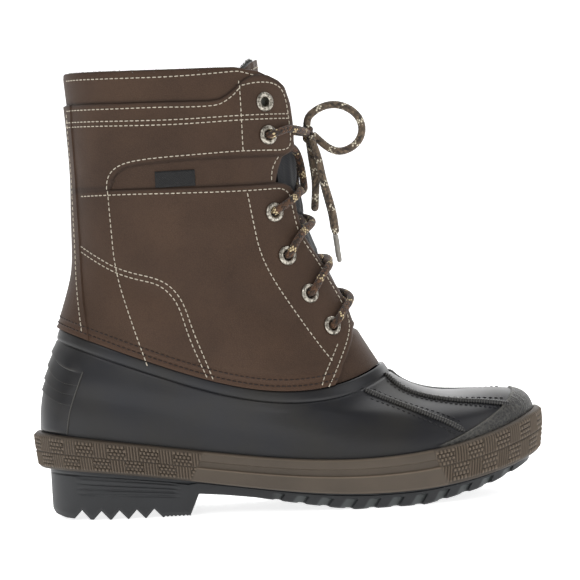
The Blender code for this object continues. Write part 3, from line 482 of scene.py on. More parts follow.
@dataclass(frozen=True)
class MouldedRubber(Finish):
    """Injection-moulded rubber: nearly even colour, cloudy bloom, a fine matte skin, paler edges of rubbed wear
    and painted highlight, and painted shade in marked hollows.
    """

    # sunk is the colour of painted shade in marked hollows; the pale tone after bloom is for rubbed wear and
    # painted highlight
    sunk: str
    deep: str
    bloom: str
    worn: str
    smooth_at: float
    rough_at: float
    specular: float = 0.5

    def dress(self, add: Adder) -> dict:
        """Clouds of bloom, painted shade in marked hollows, a paler tone on marked edges for rubbed wear and
        painted highlight, and a stippled skin where marked.
        """
        place = add("TexCoord", out="Object")
        cloud = add("TexNoise", {"Vector": place, "Scale": per_mm(38), "Detail": 4.0}, "Fac")
        skin = add("TexNoise", {"Vector": place, "Scale": per_mm(0.9), "Detail": 2.0}, "Fac")
        pebble = add("TexVoronoi", {"Vector": place, "Scale": per_mm(1.5), "Randomness": 1.0}, "Distance")
        # Marks: a paler tone for rubbed wear and painted highlight, the toe cap's stipple, and painted shade in
        # hollows
        marks = ("worn", "stipple", "hollow")
        worn, stipple, hollow = (add("Attribute", out="Fac", attribute_name=mark) for mark in marks)
        spread = add("MapRange", {"Value": cloud, "From Min": 0.3, "From Max": 0.7})
        wear_and_highlight_share = add("Math", {0: worn, 1: 0.75}, operation="MULTIPLY")
        grit = add("Math", {0: stipple, 1: pebble}, operation="MULTIPLY")
        colour = rgb(self.deep)
        for share, tone in ((spread, self.bloom), (hollow, self.sunk), (wear_and_highlight_share, self.worn), (grit, self.worn)):
            colour = add("Mix", {0: share, MIX_A: colour, MIX_B: rgb(tone)}, MIX_OUT, data_type="RGBA")
        rough = add("MapRange", {"Value": spread, "To Min": self.smooth_at, "To Max": self.rough_at})
        fine = add("Bump", {"Height": skin, "Strength": 0.16, "Distance": 0.2 * MM})
        return {
            "Base Color": colour,
            "Roughness": add("Math", {0: stipple, 1: 0.14, 2: rough}, operation="MULTIPLY_ADD"),
            "Normal": add("Bump", {"Height": grit, "Strength": 0.9, "Distance": 0.7 * MM, "Normal": fine}),
            "Specular IOR Level": self.specular,
            "IOR": 1.52,
        }


@dataclass(frozen=True)
class OiledLeather(Finish):
    """Oiled full-grain leather: fine pebbled grain, cloudy pull-up tone, darker edges of raw cut edge and
    painted shadow.
    """

    dark: str
    light: str
    edge_and_shadow: str
    hem: str

    def dress(self, add: Adder) -> dict:
        """Cloudy tone, pebble grain of about 1.3 mm with pores, darker panel edges of raw cut edge and painted
        shadow, and a redder hem fold.
        """
        place = add("TexCoord", out="Object")
        clouds = {"Vector": place, "Scale": per_mm(46), "Detail": 5.0, "Roughness": 0.55}
        cloud = add("TexNoise", clouds, "Fac")
        warp = add("TexNoise", {"Vector": place, "Scale": per_mm(2.4), "Detail": 3.0}, "Fac")
        shift = {0: warp.node.outputs["Color"], 1: (0.9 * MM,) * 3, 2: place}
        cells = {"Vector": add("VectorMath", shift, operation="MULTIPLY_ADD"), "Scale": per_mm(1.3)}
        pebble = add("TexVoronoi", cells, "Distance", feature="DISTANCE_TO_EDGE")
        pore = add("MapRange", {"Value": pebble, "From Max": 0.16})
        spread = add("MapRange", {"Value": cloud, "From Min": 0.33, "From Max": 0.67})
        cloudy = {0: spread, MIX_A: rgb(self.dark), MIX_B: rgb(self.light)}
        tone = add("Mix", cloudy, MIX_OUT, data_type="RGBA")
        grain = add("MapRange", {"Value": pore, "To Min": 0.80, "To Max": 1.0})
        colour = add("VectorMath", {0: tone, 3: grain}, operation="SCALE")
        # Marked panel edges darken: the overlay's raw cut edge, and painted shadow beside its step
        for mark, tone in (("hem", self.hem), ("edge", self.edge_and_shadow)):
            share = add("Attribute", out="Fac", attribute_name=mark)
            colour = add("Mix", {0: share, MIX_A: colour, MIX_B: rgb(tone)}, MIX_OUT, data_type="RGBA")
        grainy = add("Bump", {"Height": pore, "Strength": 0.34, "Distance": 0.16 * MM})
        return {
            "Base Color": colour,
            "Roughness": add("MapRange", {"Value": spread, "To Min": 0.66, "To Max": 0.54}),
            "Normal": add("Bump", {"Height": warp, "Strength": 0.22, "Distance": 0.35 * MM, "Normal": grainy}),
            "Specular IOR Level": 0.26,
            "Sheen Weight": 0.03,
            "Sheen Roughness": 0.5,
        }


@dataclass(frozen=True)
class Mottled(Finish):
    """Two tones mottled by one noise, which also roughens the surface."""

    shade: str
    light: str
    grain: float
    detail: float
    tangle: float
    contrast: tuple[float, float]
    rough: tuple[float, float]
    bump: tuple[float, float]
    coat: tuple[tuple[str, float], ...] = ()

    def dress(self, add: Adder) -> dict:
        """Mottle of the grain's size in millimetres, from the shade at its lowest to the light tone."""
        noise = {"Scale": per_mm(self.grain), "Detail": self.detail, "Roughness": self.tangle}
        mottle = add("TexNoise", {"Vector": add("TexCoord", out="Object"), **noise}, "Fac")
        low, high = self.contrast
        share = add("MapRange", {"Value": mottle, "From Min": low, "From Max": high})
        tones = {0: share, MIX_A: rgb(self.shade), MIX_B: rgb(self.light)}
        shaded, lit = self.rough
        strength, depth = self.bump
        return {
            "Base Color": add("Mix", tones, MIX_OUT, data_type="RGBA"),
            "Roughness": add("MapRange", {"Value": share, "To Min": shaded, "To Max": lit}),
            "Normal": add("Bump", {"Height": mottle, "Strength": strength, "Distance": depth * MM}),
            **dict(self.coat),
        }


@dataclass(frozen=True)
class WovenNylon(Finish):
    """Plain-woven nylon: a grid of threads over and under, dark, with a faint silky sheen."""

    warp: str
    weft: str
    thread: float
    roughness: float

    def dress(self, add: Adder) -> dict:
        """Over-and-under of threads on the piece's own UV map, which is in millimetres."""
        flat = add("UVMap", uv_map="flat")
        turns = add("VectorMath", {0: flat, 3: math.pi / self.thread}, operation="SCALE")
        across, along, _ = add("SeparateXYZ", {0: turns}).node.outputs
        waves = [add("Math", {0: part}, operation="SINE") for part in (across, along)]
        over = add("Math", dict(enumerate(waves)), operation="MULTIPLY")
        half = add("MapRange", {"Value": over, "From Min": -1.0})
        tones = {0: half, MIX_A: rgb(self.warp), MIX_B: rgb(self.weft)}
        return {
            "Base Color": add("Mix", tones, MIX_OUT, data_type="RGBA"),
            "Normal": add("Bump", {"Height": half, "Strength": 0.5, "Distance": 0.25 * MM}),
            "Roughness": self.roughness,
            "Sheen Weight": 0.12,
            "Sheen Roughness": 0.4,
        }


@dataclass(frozen=True)
class BraidedLace(Finish):
    """Round polyester braid: brown and near-black yarns with groups of pale gold ones."""

    dark: str
    brown: str
    gold: str
    carriers: int = 7
    stitch: float = 2.2
    group: float = 15.0
    gold_part: float = 0.28

    def dress(self, add: Adder) -> dict:
        """Diamond cells of two crossing helices on the cord's UV map: turn and length in millimetres."""
        turn, length, _ = add("SeparateXYZ", {0: add("UVMap", uv_map="flat")}).node.outputs
        rise = add("Math", {0: length, 1: 1 / self.stitch}, operation="MULTIPLY")
        cells, swells = {}, {}
        for i, carriers in enumerate((self.carriers, -self.carriers)):
            helix = add("Math", {0: turn, 1: float(carriers), 2: rise}, operation="MULTIPLY_ADD")
            cells[i] = add("Math", {0: helix}, operation="FLOOR")
            half_turns = add("Math", {0: helix, 1: math.pi}, operation="MULTIPLY")
            wave = add("Math", {0: half_turns}, operation="SINE")
            swells[i] = add("Math", {0: wave}, operation="ABSOLUTE")
        pillow = add("Math", swells, operation="MULTIPLY")
        chance = add("TexWhiteNoise", {"Vector": add("CombineXYZ", cells)}, "Value", noise_dimensions="3D")
        step = add("Math", {0: length, 1: self.group}, operation="FLOORED_MODULO")
        in_group = add("Math", {0: step, 1: self.gold_part * self.group}, operation="LESS_THAN")
        pick = add("Math", {0: chance, 1: 0.5}, operation="GREATER_THAN")
        heart = add("Math", {0: pillow, 1: 0.35}, operation="GREATER_THAN")
        grouped = add("Math", {0: pick, 1: in_group}, operation="MULTIPLY")
        golden = add("Math", {0: grouped, 1: heart}, operation="MULTIPLY")
        colour = rgb(self.dark)
        for share, tone in ((chance, self.brown), (golden, self.gold)):
            colour = add("Mix", {0: share, MIX_A: colour, MIX_B: rgb(tone)}, MIX_OUT, data_type="RGBA")
        return {
            "Base Color": colour,
            "Normal": add("Bump", {"Height": pillow, "Strength": 0.8, "Distance": 0.5 * MM}),
            "Roughness": 0.78,
            "Sheen Weight": 0.15,
        }


@dataclass(frozen=True)
class StudioPaper(Finish):
    """Matte white background paper, lit from behind a little so that it stays pale."""

    tone: str
    glow: float

    def dress(self, add: Adder) -> dict:
        """Plain matte white with a faint glow of its own."""
        plain = {"Base Color": rgb(self.tone), "Roughness": 0.9, "Specular IOR Level": 0.1}
        return plain | {"Emission Color": rgb(self.tone), "Emission Strength": self.glow}


# Tones of each rubber: painted shade of hollows, deep, bloom, then the pale tone of rubbed wear and painted
# highlight
SHELL_RUBBER = MouldedRubber(
    "moulded_black_rubber", "black_rubber", "0a0a0b", "11131b", "1f1d1a", "5d5b55", 0.36, 0.47, 0.44
)
SOLE_RUBBER = MouldedRubber(
    "lug_sole_rubber", "black_rubber", "0b0b0c", "1c1d1f", "27292c", "666c6b", 0.44, 0.58
)
RAND_RUBBER = MouldedRubber(
    "brown_rand_rubber", "brown_rubber", "221b15", "4a4137", "574d42", "8b7a68", 0.55, 0.68, 0.4
)
# The third tone darkens panel edges: raw cut edge and painted shadow
LEATHER = OiledLeather("oiled_brown_leather", "brown_leather", "402f24", "4c382a", "271c15", "4b372a")
# Waxed polyester thread: a matte twist of strands, drawn coarser than the real ones so that they show
STRANDS = (0.7, 2.0, 0.5, (0.0, 1.0), (0.72, 0.72), (0.5, 0.15))
CREAM_THREAD = Mottled("waxed_cream_thread", "brown_leather", "a99f8c", "d9d1c0", *STRANDS)
BROWN_THREAD = Mottled("waxed_brown_thread", "brown_leather", "1d1410", "2e2019", *STRANDS)
# Fleece and felt: matted clumps of fibres with a soft bright rim and no gloss
PILE = (5.0, 0.7, (0.3, 0.7), (0.95, 0.95), (0.9, 1.2),
        (("Specular IOR Level", 0.15), ("Sheen Weight", 0.35), ("Sheen Roughness", 0.6)))
FLEECE = Mottled("grey_fleece_lining", "felt", "4a4b48", "75766f", 2.2, *PILE)
FELT = Mottled("pressed_grey_felt", "felt", "595a58", "7c7d79", 1.4, *PILE)
TONGUE_CLOTH = WovenNylon("woven_tongue_nylon", "tongue_nylon", "0c0d11", "181a20", 0.9, 0.62)
LABEL_CLOTH = WovenNylon("woven_black_label", "black_weave", "060607", "0c0c0e", 0.7, 0.7)
# Nickel plate aged in a bath: dark rough patina in the hollows, bright where it was rubbed
NICKEL = Mottled("aged_nickel_plate", "aged_nickel", "645e55", "c2bcb0", 1.6, 4.0, 0.7, (0.38, 0.58),
                 (0.55, 0.27), (0.4, 0.25), (("Metallic", 1.0),))
LACE = BraidedLace("round_braided_lace", "lace_cord", "1e1712", "63432a", "d9c69a")
# Paler copy of the same lace for the bow's loops and ends: painted light from behind
BOW_LACE_PAINTED_LIGHT = BraidedLace("round_braided_lace_painted_light", "lace_cord", "322b25", "7c6a56", "e2dac4")
# Cellulose acetate sleeve shrunk on the cord: pale, hazy streaks under a smooth glossy coat
AGLET = Mottled("clear_acetate_sleeve", "clear_aglet", "77736c", "a39f97", 2.0, 2.0, 0.5, (0.0, 1.0),
                (0.32, 0.32), (0.0, 1.0), (("Coat Weight", 0.5), ("Coat Roughness", 0.12)))


def grid_faces(
    rows: int, columns: int, wrap_rows: bool = False, wrap_columns: bool = False
) -> tuple[Array, Array]:
    """Quads of a grid of points.

    Args:
        rows: number of rows.
        columns: number of columns.
        wrap_rows: whether the last row joins the first.
        wrap_columns: whether the last column joins the first.

    Returns:
        Point indices of each quad, and the row and column of each corner before wrapping.
    """
    r, c = np.indices((rows - (not wrap_rows), columns - (not wrap_columns)))
    corner_r = np.stack([r, r, r + 1, r + 1], axis=-1).reshape(-1, 4)
    corner_c = np.stack([c, c + 1, c + 1, c], axis=-1).reshape(-1, 4)
    return corner_r % rows * columns + corner_c % columns, np.stack([corner_r, corner_c], axis=-1)


def wall_faces(rows: int, columns: int, keep: Array | None = None) -> tuple[Array, Array]:
    """Quads of a wall between two equal grids, with rims wherever the kept cells end.

    Args:
        rows: rows of each grid.
        columns: columns of each grid.
        keep: which cells of the grid are there; all of them when left out.

    Returns:
        Point indices of each quad, the second grid's after the first's, and corner rows and columns.
    """
    faces, corners = grid_faces(rows, columns)
    if keep is not None:
        faces, corners = faces[keep.ravel()], corners[keep.ravel()]
    count = rows * columns
    start, end = faces.ravel(), np.roll(faces, -1, axis=1).ravel()
    rim = ~np.isin(start * count + end, end * count + start)
    a, b = start[rim], end[rim]
    rims = np.stack([b, a, a + count, b + count], axis=1)
    rim_corners = np.stack([rims % count // columns, rims % columns], axis=-1)
    both = np.concatenate([faces, faces[:, ::-1] + count, rims])
    return both, np.concatenate([corners, corners[:, ::-1], rim_corners])


def sheet(front: Array, back: Array, flat: Array | None = None) -> dict[str, Array]:
    """Closed sheet between two equal grids of points.

    Args:
        front: points of the one grid.
        back: points of the other.
        flat: flat coordinates of the grid, for patterns that follow it.

    Returns:
        Points, faces and UV of a piece.
    """
    faces, corners = wall_faces(*front.shape[:2])
    uv = None if flat is None else flat[corners[..., 0], corners[..., 1]]
    return {"points": np.concatenate([front, back]), "faces": faces, "uv": uv}


def outer_marks(inner: int, **marks: Array) -> dict[str, Array]:
    """Marks of the outer columns of a profile, blank on the inner columns after them."""
    return {key: np.pad(values, ((0, 0), (0, inner))) for key, values in marks.items()}


def make_piece(
    name: str,
    points: Array,
    faces: Sequence,
    finish: Finish,
    uv: Array | None = None,
    marks: dict[str, Array] | None = None,
    stands_for: Sequence[str] = (),
    crease: float = 50.0,
) -> Piece:
    """Object from points in millimetres, faces turned outwards, riding on the boot's one body.

    Args:
        name: name of the piece.
        points: points, in any array shape that ends in three columns.
        faces: point indices of each face.
        finish: material of the piece.
        uv: coordinates of every face corner, in the order of the faces, for patterns that follow it.
        marks: values of each point that its material reads.
        stands_for: solids that the piece replaces.
        crease: angle between faces above which an edge stays sharp.

    Returns:
        The object.
    """
    mesh = bpy.data.meshes.new(name)
    faces = faces.tolist() if isinstance(faces, np.ndarray) else faces
    mesh.from_pydata((points.reshape(-1, 3) * MM).tolist(), [], faces)
    if uv is not None:
        mesh.uv_layers.new(name="flat").data.foreach_set("uv", uv.reshape(-1).astype(np.float32))
    for key, values in (marks or {}).items():
        layer = mesh.attributes.new(key, "FLOAT", "POINT")
        layer.data.foreach_set("value", values.ravel().astype(np.float32))
    shape = bmesh.new()
    shape.from_mesh(mesh)
    bmesh.ops.recalc_face_normals(shape, faces=shape.faces)
    shape.to_mesh(mesh)
    shape.free()
    mesh.shade_smooth()
    mesh.set_sharp_from_angle(angle=math.radians(crease))
    mesh.materials.append(finish.material())
    piece = bpy.data.objects.new(name, mesh)
    bpy.context.scene.collection.objects.link(piece)
    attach(piece, BODY)
    if stands_for:
        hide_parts(*stands_for)
    LOG.info("%s: %d faces", name, len(mesh.polygons))
    return piece


def carried_frames(path: Array) -> tuple[Array, Array]:
    """Two directions across a path at each point, carried along it without twist.

    Args:
        path: points of the path.

    Returns:
        The directions across and beside.
    """
    along = unit(np.gradient(path, axis=0))
    across = np.zeros_like(path)
    across[0] = np.cross(along[0], np.eye(3)[np.argmin(np.abs(along[0]))])
    for i in range(1, len(path)):
        across[i] = across[i - 1] - along[i] * (across[i - 1] @ along[i])
        across[i] /= np.linalg.norm(across[i])
    across = unit(across)
    return across, np.cross(along, across)


def rings(across: Array, beside: Array, sides: int) -> Array:
    """Unit directions all round, one ring of them for each pair of directions."""
    turn = np.linspace(0, TURN, sides, endpoint=False)[:, None]
    return across[..., None, :] * np.cos(turn) + beside[..., None, :] * np.sin(turn)


def tube(path: Array, radius: Array, sides: int) -> tuple[Array, list, Array]:
    """Round profile carried along a path and closed at both ends.

    Args:
        path: points of the path.
        radius: radius at each point.
        sides: corners of the profile.

    Returns:
        Points, faces and the UV of every face corner: turn and length in millimetres.
    """
    girth = np.broadcast_to(radius, len(path))[:, None, None]
    points = path[:, None] + rings(*carried_frames(path), sides) * girth
    faces, corners = grid_faces(len(path), sides, wrap_columns=True)
    uv = np.stack([corners[..., 1] / sides, run_length(path)[corners[..., 0]]], axis=-1).reshape(-1, 2)
    last = (len(path) - 1) * sides
    ends = [tuple(range(sides))[::-1], tuple(range(last, last + sides))]
    return points, faces.tolist() + ends, np.concatenate([uv, np.zeros((2 * sides, 2))])


def beads(
    centres: Array, along: Array, up: Array, length: float, radius: float, sink: float
) -> tuple[Array, list]:
    """Short capsules that dip at both ends, such as stitches, one at each centre.

    Args:
        centres: middle of each capsule.
        along: unit direction of each.
        up: unit direction out of the surface at each.
        length: length of a capsule.
        radius: radius at its middle.
        sink: how far its ends dip.

    Returns:
        Points and faces of them all.
    """
    part = np.array([-1.0, -0.82, -0.35, 0.35, 0.82, 1.0])
    girth = np.array([0.35, 0.85, 1.0, 1.0, 0.85, 0.35]) * radius
    sides = 6
    turn = np.linspace(0, TURN, sides, endpoint=False)
    flat = np.stack([
        np.repeat(part * length / 2, sides), np.outer(girth, np.cos(turn)).ravel(),
        np.outer(girth, np.sin(turn)).ravel() - np.repeat(sink * part ** 4, sides),
    ], axis=1)
    frame = np.stack([along, np.cross(up, along), up], axis=1)
    points = centres[:, None] + np.einsum("pk,nkd->npd", flat, frame)
    quads = grid_faces(len(part), sides, wrap_columns=True)[0]
    size = len(flat)
    base = np.arange(len(centres))[:, None, None] * size
    faces = (quads[None] + base).reshape(-1, 4).tolist()
    caps = np.stack([np.arange(sides)[::-1], np.arange(size - sides, size)])
    return points, faces + (caps[None] + base).reshape(-1, sides).tolist()


def merge(parts: Sequence[tuple[Array, list]]) -> tuple[Array, list]:
    """Points and faces of several shapes as one."""
    points, faces, base = [], [], 0
    for some, their_faces in parts:
        flat = some.reshape(-1, 3)
        points.append(flat)
        faces += [tuple(i + base for i in face) for face in their_faces]
        base += len(flat)
    return np.concatenate(points), faces


def lateral_twin(angle: Array) -> Array:
    """The lateral twin of each angle, between 0 and pi."""
    angle = np.asarray(angle) % TURN
    return np.where(angle > math.pi, TURN - angle, angle)


class DashRow(NamedTuple):
    """A row of moulded dashes beside a rib: its distance up from the rib, pitch, length and radius."""

    rib: tuple[Spot, ...]
    shift: float
    pitch: float
    length: float
    radius: float


@dataclass
class RubberShell:
    """Moulded rubber lower with toe cap, cord ribs, heel counter and rolled lip."""

    last: Last
    spokes: int = 480
    rib_radius: float = 1.9
    rib_pitch: float = 1.6
    rib_lift: float = 0.5
    rib_swell: float = 0.14
    crown_shift: float = 6.0
    cap_end: float = 0.93
    cap_step: float = 0.9
    cap_stipple: float = 0.7
    shingle_step: float = 1.1
    shingle_foot: float = 0.1
    shingle_slope: float = -0.45
    edge: float = 0.012

    # spokes, and levels of the toe cap's upper edge on them
    CAP = ((0.0, 0.33, 0.70, 0.93, 3.15), (1.86, 1.68, 1.36, 1.08, 1.08))
    SHINGLES = (2.43, 2.95, 3.42, 3.80)
    FAN = ((0.0, 0.33, 0.80, 1.35, math.pi), (0.0, 0.22, 0.577, 1.2, math.pi))
    COUNTER = spots(
        (-132.8, 45.0), (-133.5, 52.7), (-131.0, 65.7), (-126.6, 77.6), (-121.4, 90.0), (-126.6, 99.0),
        (-137.0, 107.0),
    )
    # lip rows: level and offset of the fine groove, the rolled bead and the step under the hem
    LIP = ((4.12, 0.0), (4.14, -0.45), (4.16, -0.6), (4.18, -0.3), (4.21, 0.15), (4.27, 0.35), (4.35, 0.42),
           (4.43, 0.38), (4.47, 0.2), (4.49, -0.1), (4.49, LAP_OUTER))
    INNER_RIB = spots((60, 77.6), (66, 71), (74, 66), (86, 62), (104, 59), (122, 57), (135, 54.4))
    OUTER_RIB = spots((46, 70), (55.5, 65), (67, 60), (84, 53), (96, 47.5), (105, 42))
    DASHES = (
        DashRow(INNER_RIB, 4.6, 3.6, 2.4, 0.62), DashRow(INNER_RIB, -4.4, 3.0, 1.9, 0.8),
        DashRow(OUTER_RIB, -4.6, 3.4, 2.2, 0.62), DashRow(OUTER_RIB, 4.2, 3.4, 2.2, 0.55),
    )

    def angle(self, spoke: Array, level: Array) -> Array:
        """Angle of a spoke at a level: spokes fan out from the lip to the rand."""
        lateral = lateral_twin(spoke)
        at_lip = np.interp(lateral, *self.FAN)
        low = np.clip((LIP_LEVEL - level) / (LIP_LEVEL - RAND_TOP), 0, 1)
        angle = at_lip + (lateral - at_lip) * low
        return np.where(np.asarray(spoke) % TURN > math.pi, TURN - angle, angle)

    def relief(self, lateral: Array, level: Array, place: Array, cap: Array) -> tuple[Array, Array, Array]:
        """Height over the plain wall: toe cap, heel shingles and a slight unevenness.

        Args:
            lateral: spoke as its lateral twin.
            level: level of each point.
            place: point of the last.
            cap: level of the toe cap's edge on the spoke.

        Returns:
            Height, stipple mark, and mark of rubbed wear and painted highlight of each point.
        """
        fade = smooth(self.cap_end + 0.02, self.cap_end - 0.03, lateral)
        on_cap = (level < cap) * fade
        height = on_cap * self.cap_step + 0.25 * on_cap * smooth(cap - 0.08, cap - 0.02, level)
        behind = place[..., 0] - across_line(self.COUNTER, place[..., 2])
        on_counter = smooth(1.0, -9.0, behind) * (lateral > 2.2)
        edges = (1.05,) + self.SHINGLES + (self.LIP[0][0],)
        rise = np.zeros_like(level)
        # Painted highlight: paler on the bead at the toe cap's edge, and below on the foot of each shingle of
        # the heel counter
        worn = on_cap * smooth(cap - 0.05, cap - 0.015, level)
        for low, high in zip(edges, edges[1:]):
            inside = (level >= low) & (level < high)
            part = (high - level) / (high - low)
            rise = np.where(inside, self.shingle_foot + (self.shingle_step - self.shingle_foot) * part, rise)
            worn = np.maximum(worn, np.where(inside, smooth(0.92, 1.0, part), 0) * on_counter * 0.6)
        height = height + rise * on_counter + ripple(place, 4, (60, 34, 23), 0.12)
        return height, on_cap * self.cap_stipple, worn

    def drawn_down(self, lateral: Array, level: Array) -> Array:
        """Level moved down in front of the heel, so that the counter's shingles slope forwards."""
        ahead = smooth(3.05, 2.65, lateral) * smooth(1.7, 2.4, lateral)
        return level + self.shingle_slope * ahead * smooth(1.2, 2.2, level) * smooth(4.10, 3.6, level)

    def body(self) -> Piece:
        """The shell: a loop of profiles that runs up outside, over the lip and down inside."""
        spokes = np.linspace(0, TURN, self.spokes, endpoint=False)[:, None]
        lateral = lateral_twin(spokes)
        cap = np.interp(lateral, *self.CAP)
        below = 0.03 + np.linspace(0, 1, 22) * (cap - self.edge - 0.03)
        heel = 1.08 + self.edge
        doubled = np.array([edge + side * self.edge for edge in self.SHINGLES for side in (-1, 1)])
        rise = np.unique(np.concatenate([np.linspace(heel, self.LIP[0][0], 88), doubled]))
        above = cap + self.edge + (rise - heel) / (self.LIP[0][0] - heel) * (self.LIP[0][0] - cap - self.edge)
        rows = np.concatenate([below, above[:, :-1]], axis=1)
        around = np.broadcast_to(lateral, rows.shape)
        levels = self.drawn_down(around, rows)
        place = self.last.point(self.angle(spokes, levels), levels)
        height, stipple, worn = self.relief(around, rows, place, cap)
        lap = np.where(lateral > 1.3, 0.35, 0.03)
        rest_levels = [np.full_like(lateral, level) for level, _ in self.LIP] + 2 * [SHELL_TOP + lap]
        rest_offsets = [offset for _, offset in self.LIP] + [LAP_OUTER, LAP_INNER]
        for level in (4.2, 3.7, 3.2, 2.8, 2.4, 2.0, 1.7, 1.3, 1.0, 0.6, 0.3, 0.03):
            rest_levels.append(np.full_like(lateral, level))
            rest_offsets.append(-SHELL_WALL)
        levels = np.concatenate([levels] + rest_levels, axis=1)
        offsets = np.concatenate([height, np.tile(rest_offsets, (self.spokes, 1))], axis=1)
        marks = outer_marks(len(rest_offsets), stipple=stipple, worn=worn)
        points = self.last.wall(self.angle(spokes, levels), levels, offsets)
        faces, _ = grid_faces(*levels.shape, wrap_rows=True, wrap_columns=True)
        return make_piece("rubber_shell_moulded", points, faces, SHELL_RUBBER, marks=marks,
                          stands_for=["rubber_shell"], crease=40)

    def rib_line(
        self, rib: Sequence[Spot], shift: float, offset: float, step: float, side: Side
    ) -> tuple[Array, Array]:
        """Even points on the shell beside a rib's side-view line.

        Args:
            rib: side-view line of the rib.
            shift: distance beside it, upwards, in millimetres.
            offset: offset from the last.
            step: distance between points.
            side: side of the boot.

        Returns:
            Points of the line and normals there.
        """
        angle, level = self.last.locate(*even_route(rib, 2.0).T)
        line = self.last.point(angle, level)
        if side is Side.MEDIAL and rib is self.INNER_RIB:
            shift += self.crown_shift
        beside = unit(np.cross(self.last.normal(angle, level), np.gradient(line, axis=0)))
        angle, level = self.last.locate(*(line + shift * beside)[:, ::2].T)
        run = run_length(self.last.point(angle * side.value, level))
        at = np.arange(0, run[-1], step)
        angle, level = np.interp(at, run, angle) * side.value, np.interp(at, run, level)
        return self.last.wall(angle, level, offset), self.last.normal(angle, level)

    def ribs(self) -> Piece:
        """Cord-like ribs: half-sunk tubes whose radius swells once a pitch, with a painted highlight on the
        swells.
        """
        shapes, worn = [], []
        sides = 10
        for side in Side:
            for rib in (self.INNER_RIB, self.OUTER_RIB):
                path, _ = self.rib_line(rib, 0.0, self.rib_lift, self.rib_pitch / 5, side)
                run = run_length(path)
                taper = np.sqrt(np.clip(np.minimum(run, run[-1] - run) / 3.0, 0.02, 1))
                swell = np.cos(TURN * run / self.rib_pitch)
                radius = self.rib_radius * taper * (1 - self.rib_swell + self.rib_swell * swell)
                shapes.append(tube(path, radius, sides)[:2])
                # Painted highlight on each swell, none in the dips between them
                worn.append(np.repeat(0.25 + 0.45 * swell, sides))
        return make_piece("rubber_shell_ribs", *merge(shapes), SHELL_RUBBER,
                          marks={"worn": np.clip(np.concatenate(worn), 0, 1)}, crease=80)

    def bead_rows(self) -> Piece:
        """Rows of moulded dashes and scallops beside the ribs."""
        shapes = []
        for side in Side:
            for row in self.DASHES:
                path, up = self.rib_line(row.rib, row.shift, 0.0, row.pitch, side)
                way = unit(np.gradient(path, axis=0))
                shapes.append(beads(path[2:-1], way[2:-1], up[2:-1], row.length, row.radius, 0.3))
        return make_piece("rubber_shell_dashes", *merge(shapes), SHELL_RUBBER, crease=80)

    def counter_beads(self) -> Piece:
        """Fine raised line along the front of the heel counter, painted pale as rubbed wear and painted
        highlight.
        """
        shapes = []
        angle, level = self.last.locate(*even_route(self.COUNTER[1:5], 2.0).T)
        for side in Side:
            path = even_route(self.last.wall(angle * side.value, level, 0.2), 1.0)
            shapes.append(tube(path, 0.42, 8)[:2])
        points, faces = merge(shapes)
        # The whole line is painted pale, as rubbed wear and painted highlight
        return make_piece("rubber_shell_counter_line", points, faces, SHELL_RUBBER,
                          marks={"worn": np.full(len(points), 0.6)}, crease=80)

    def build(self) -> None:
        """Build the shell and its moulded details."""
        self.body()
        self.ribs()
        self.bead_rows()
        self.counter_beads()


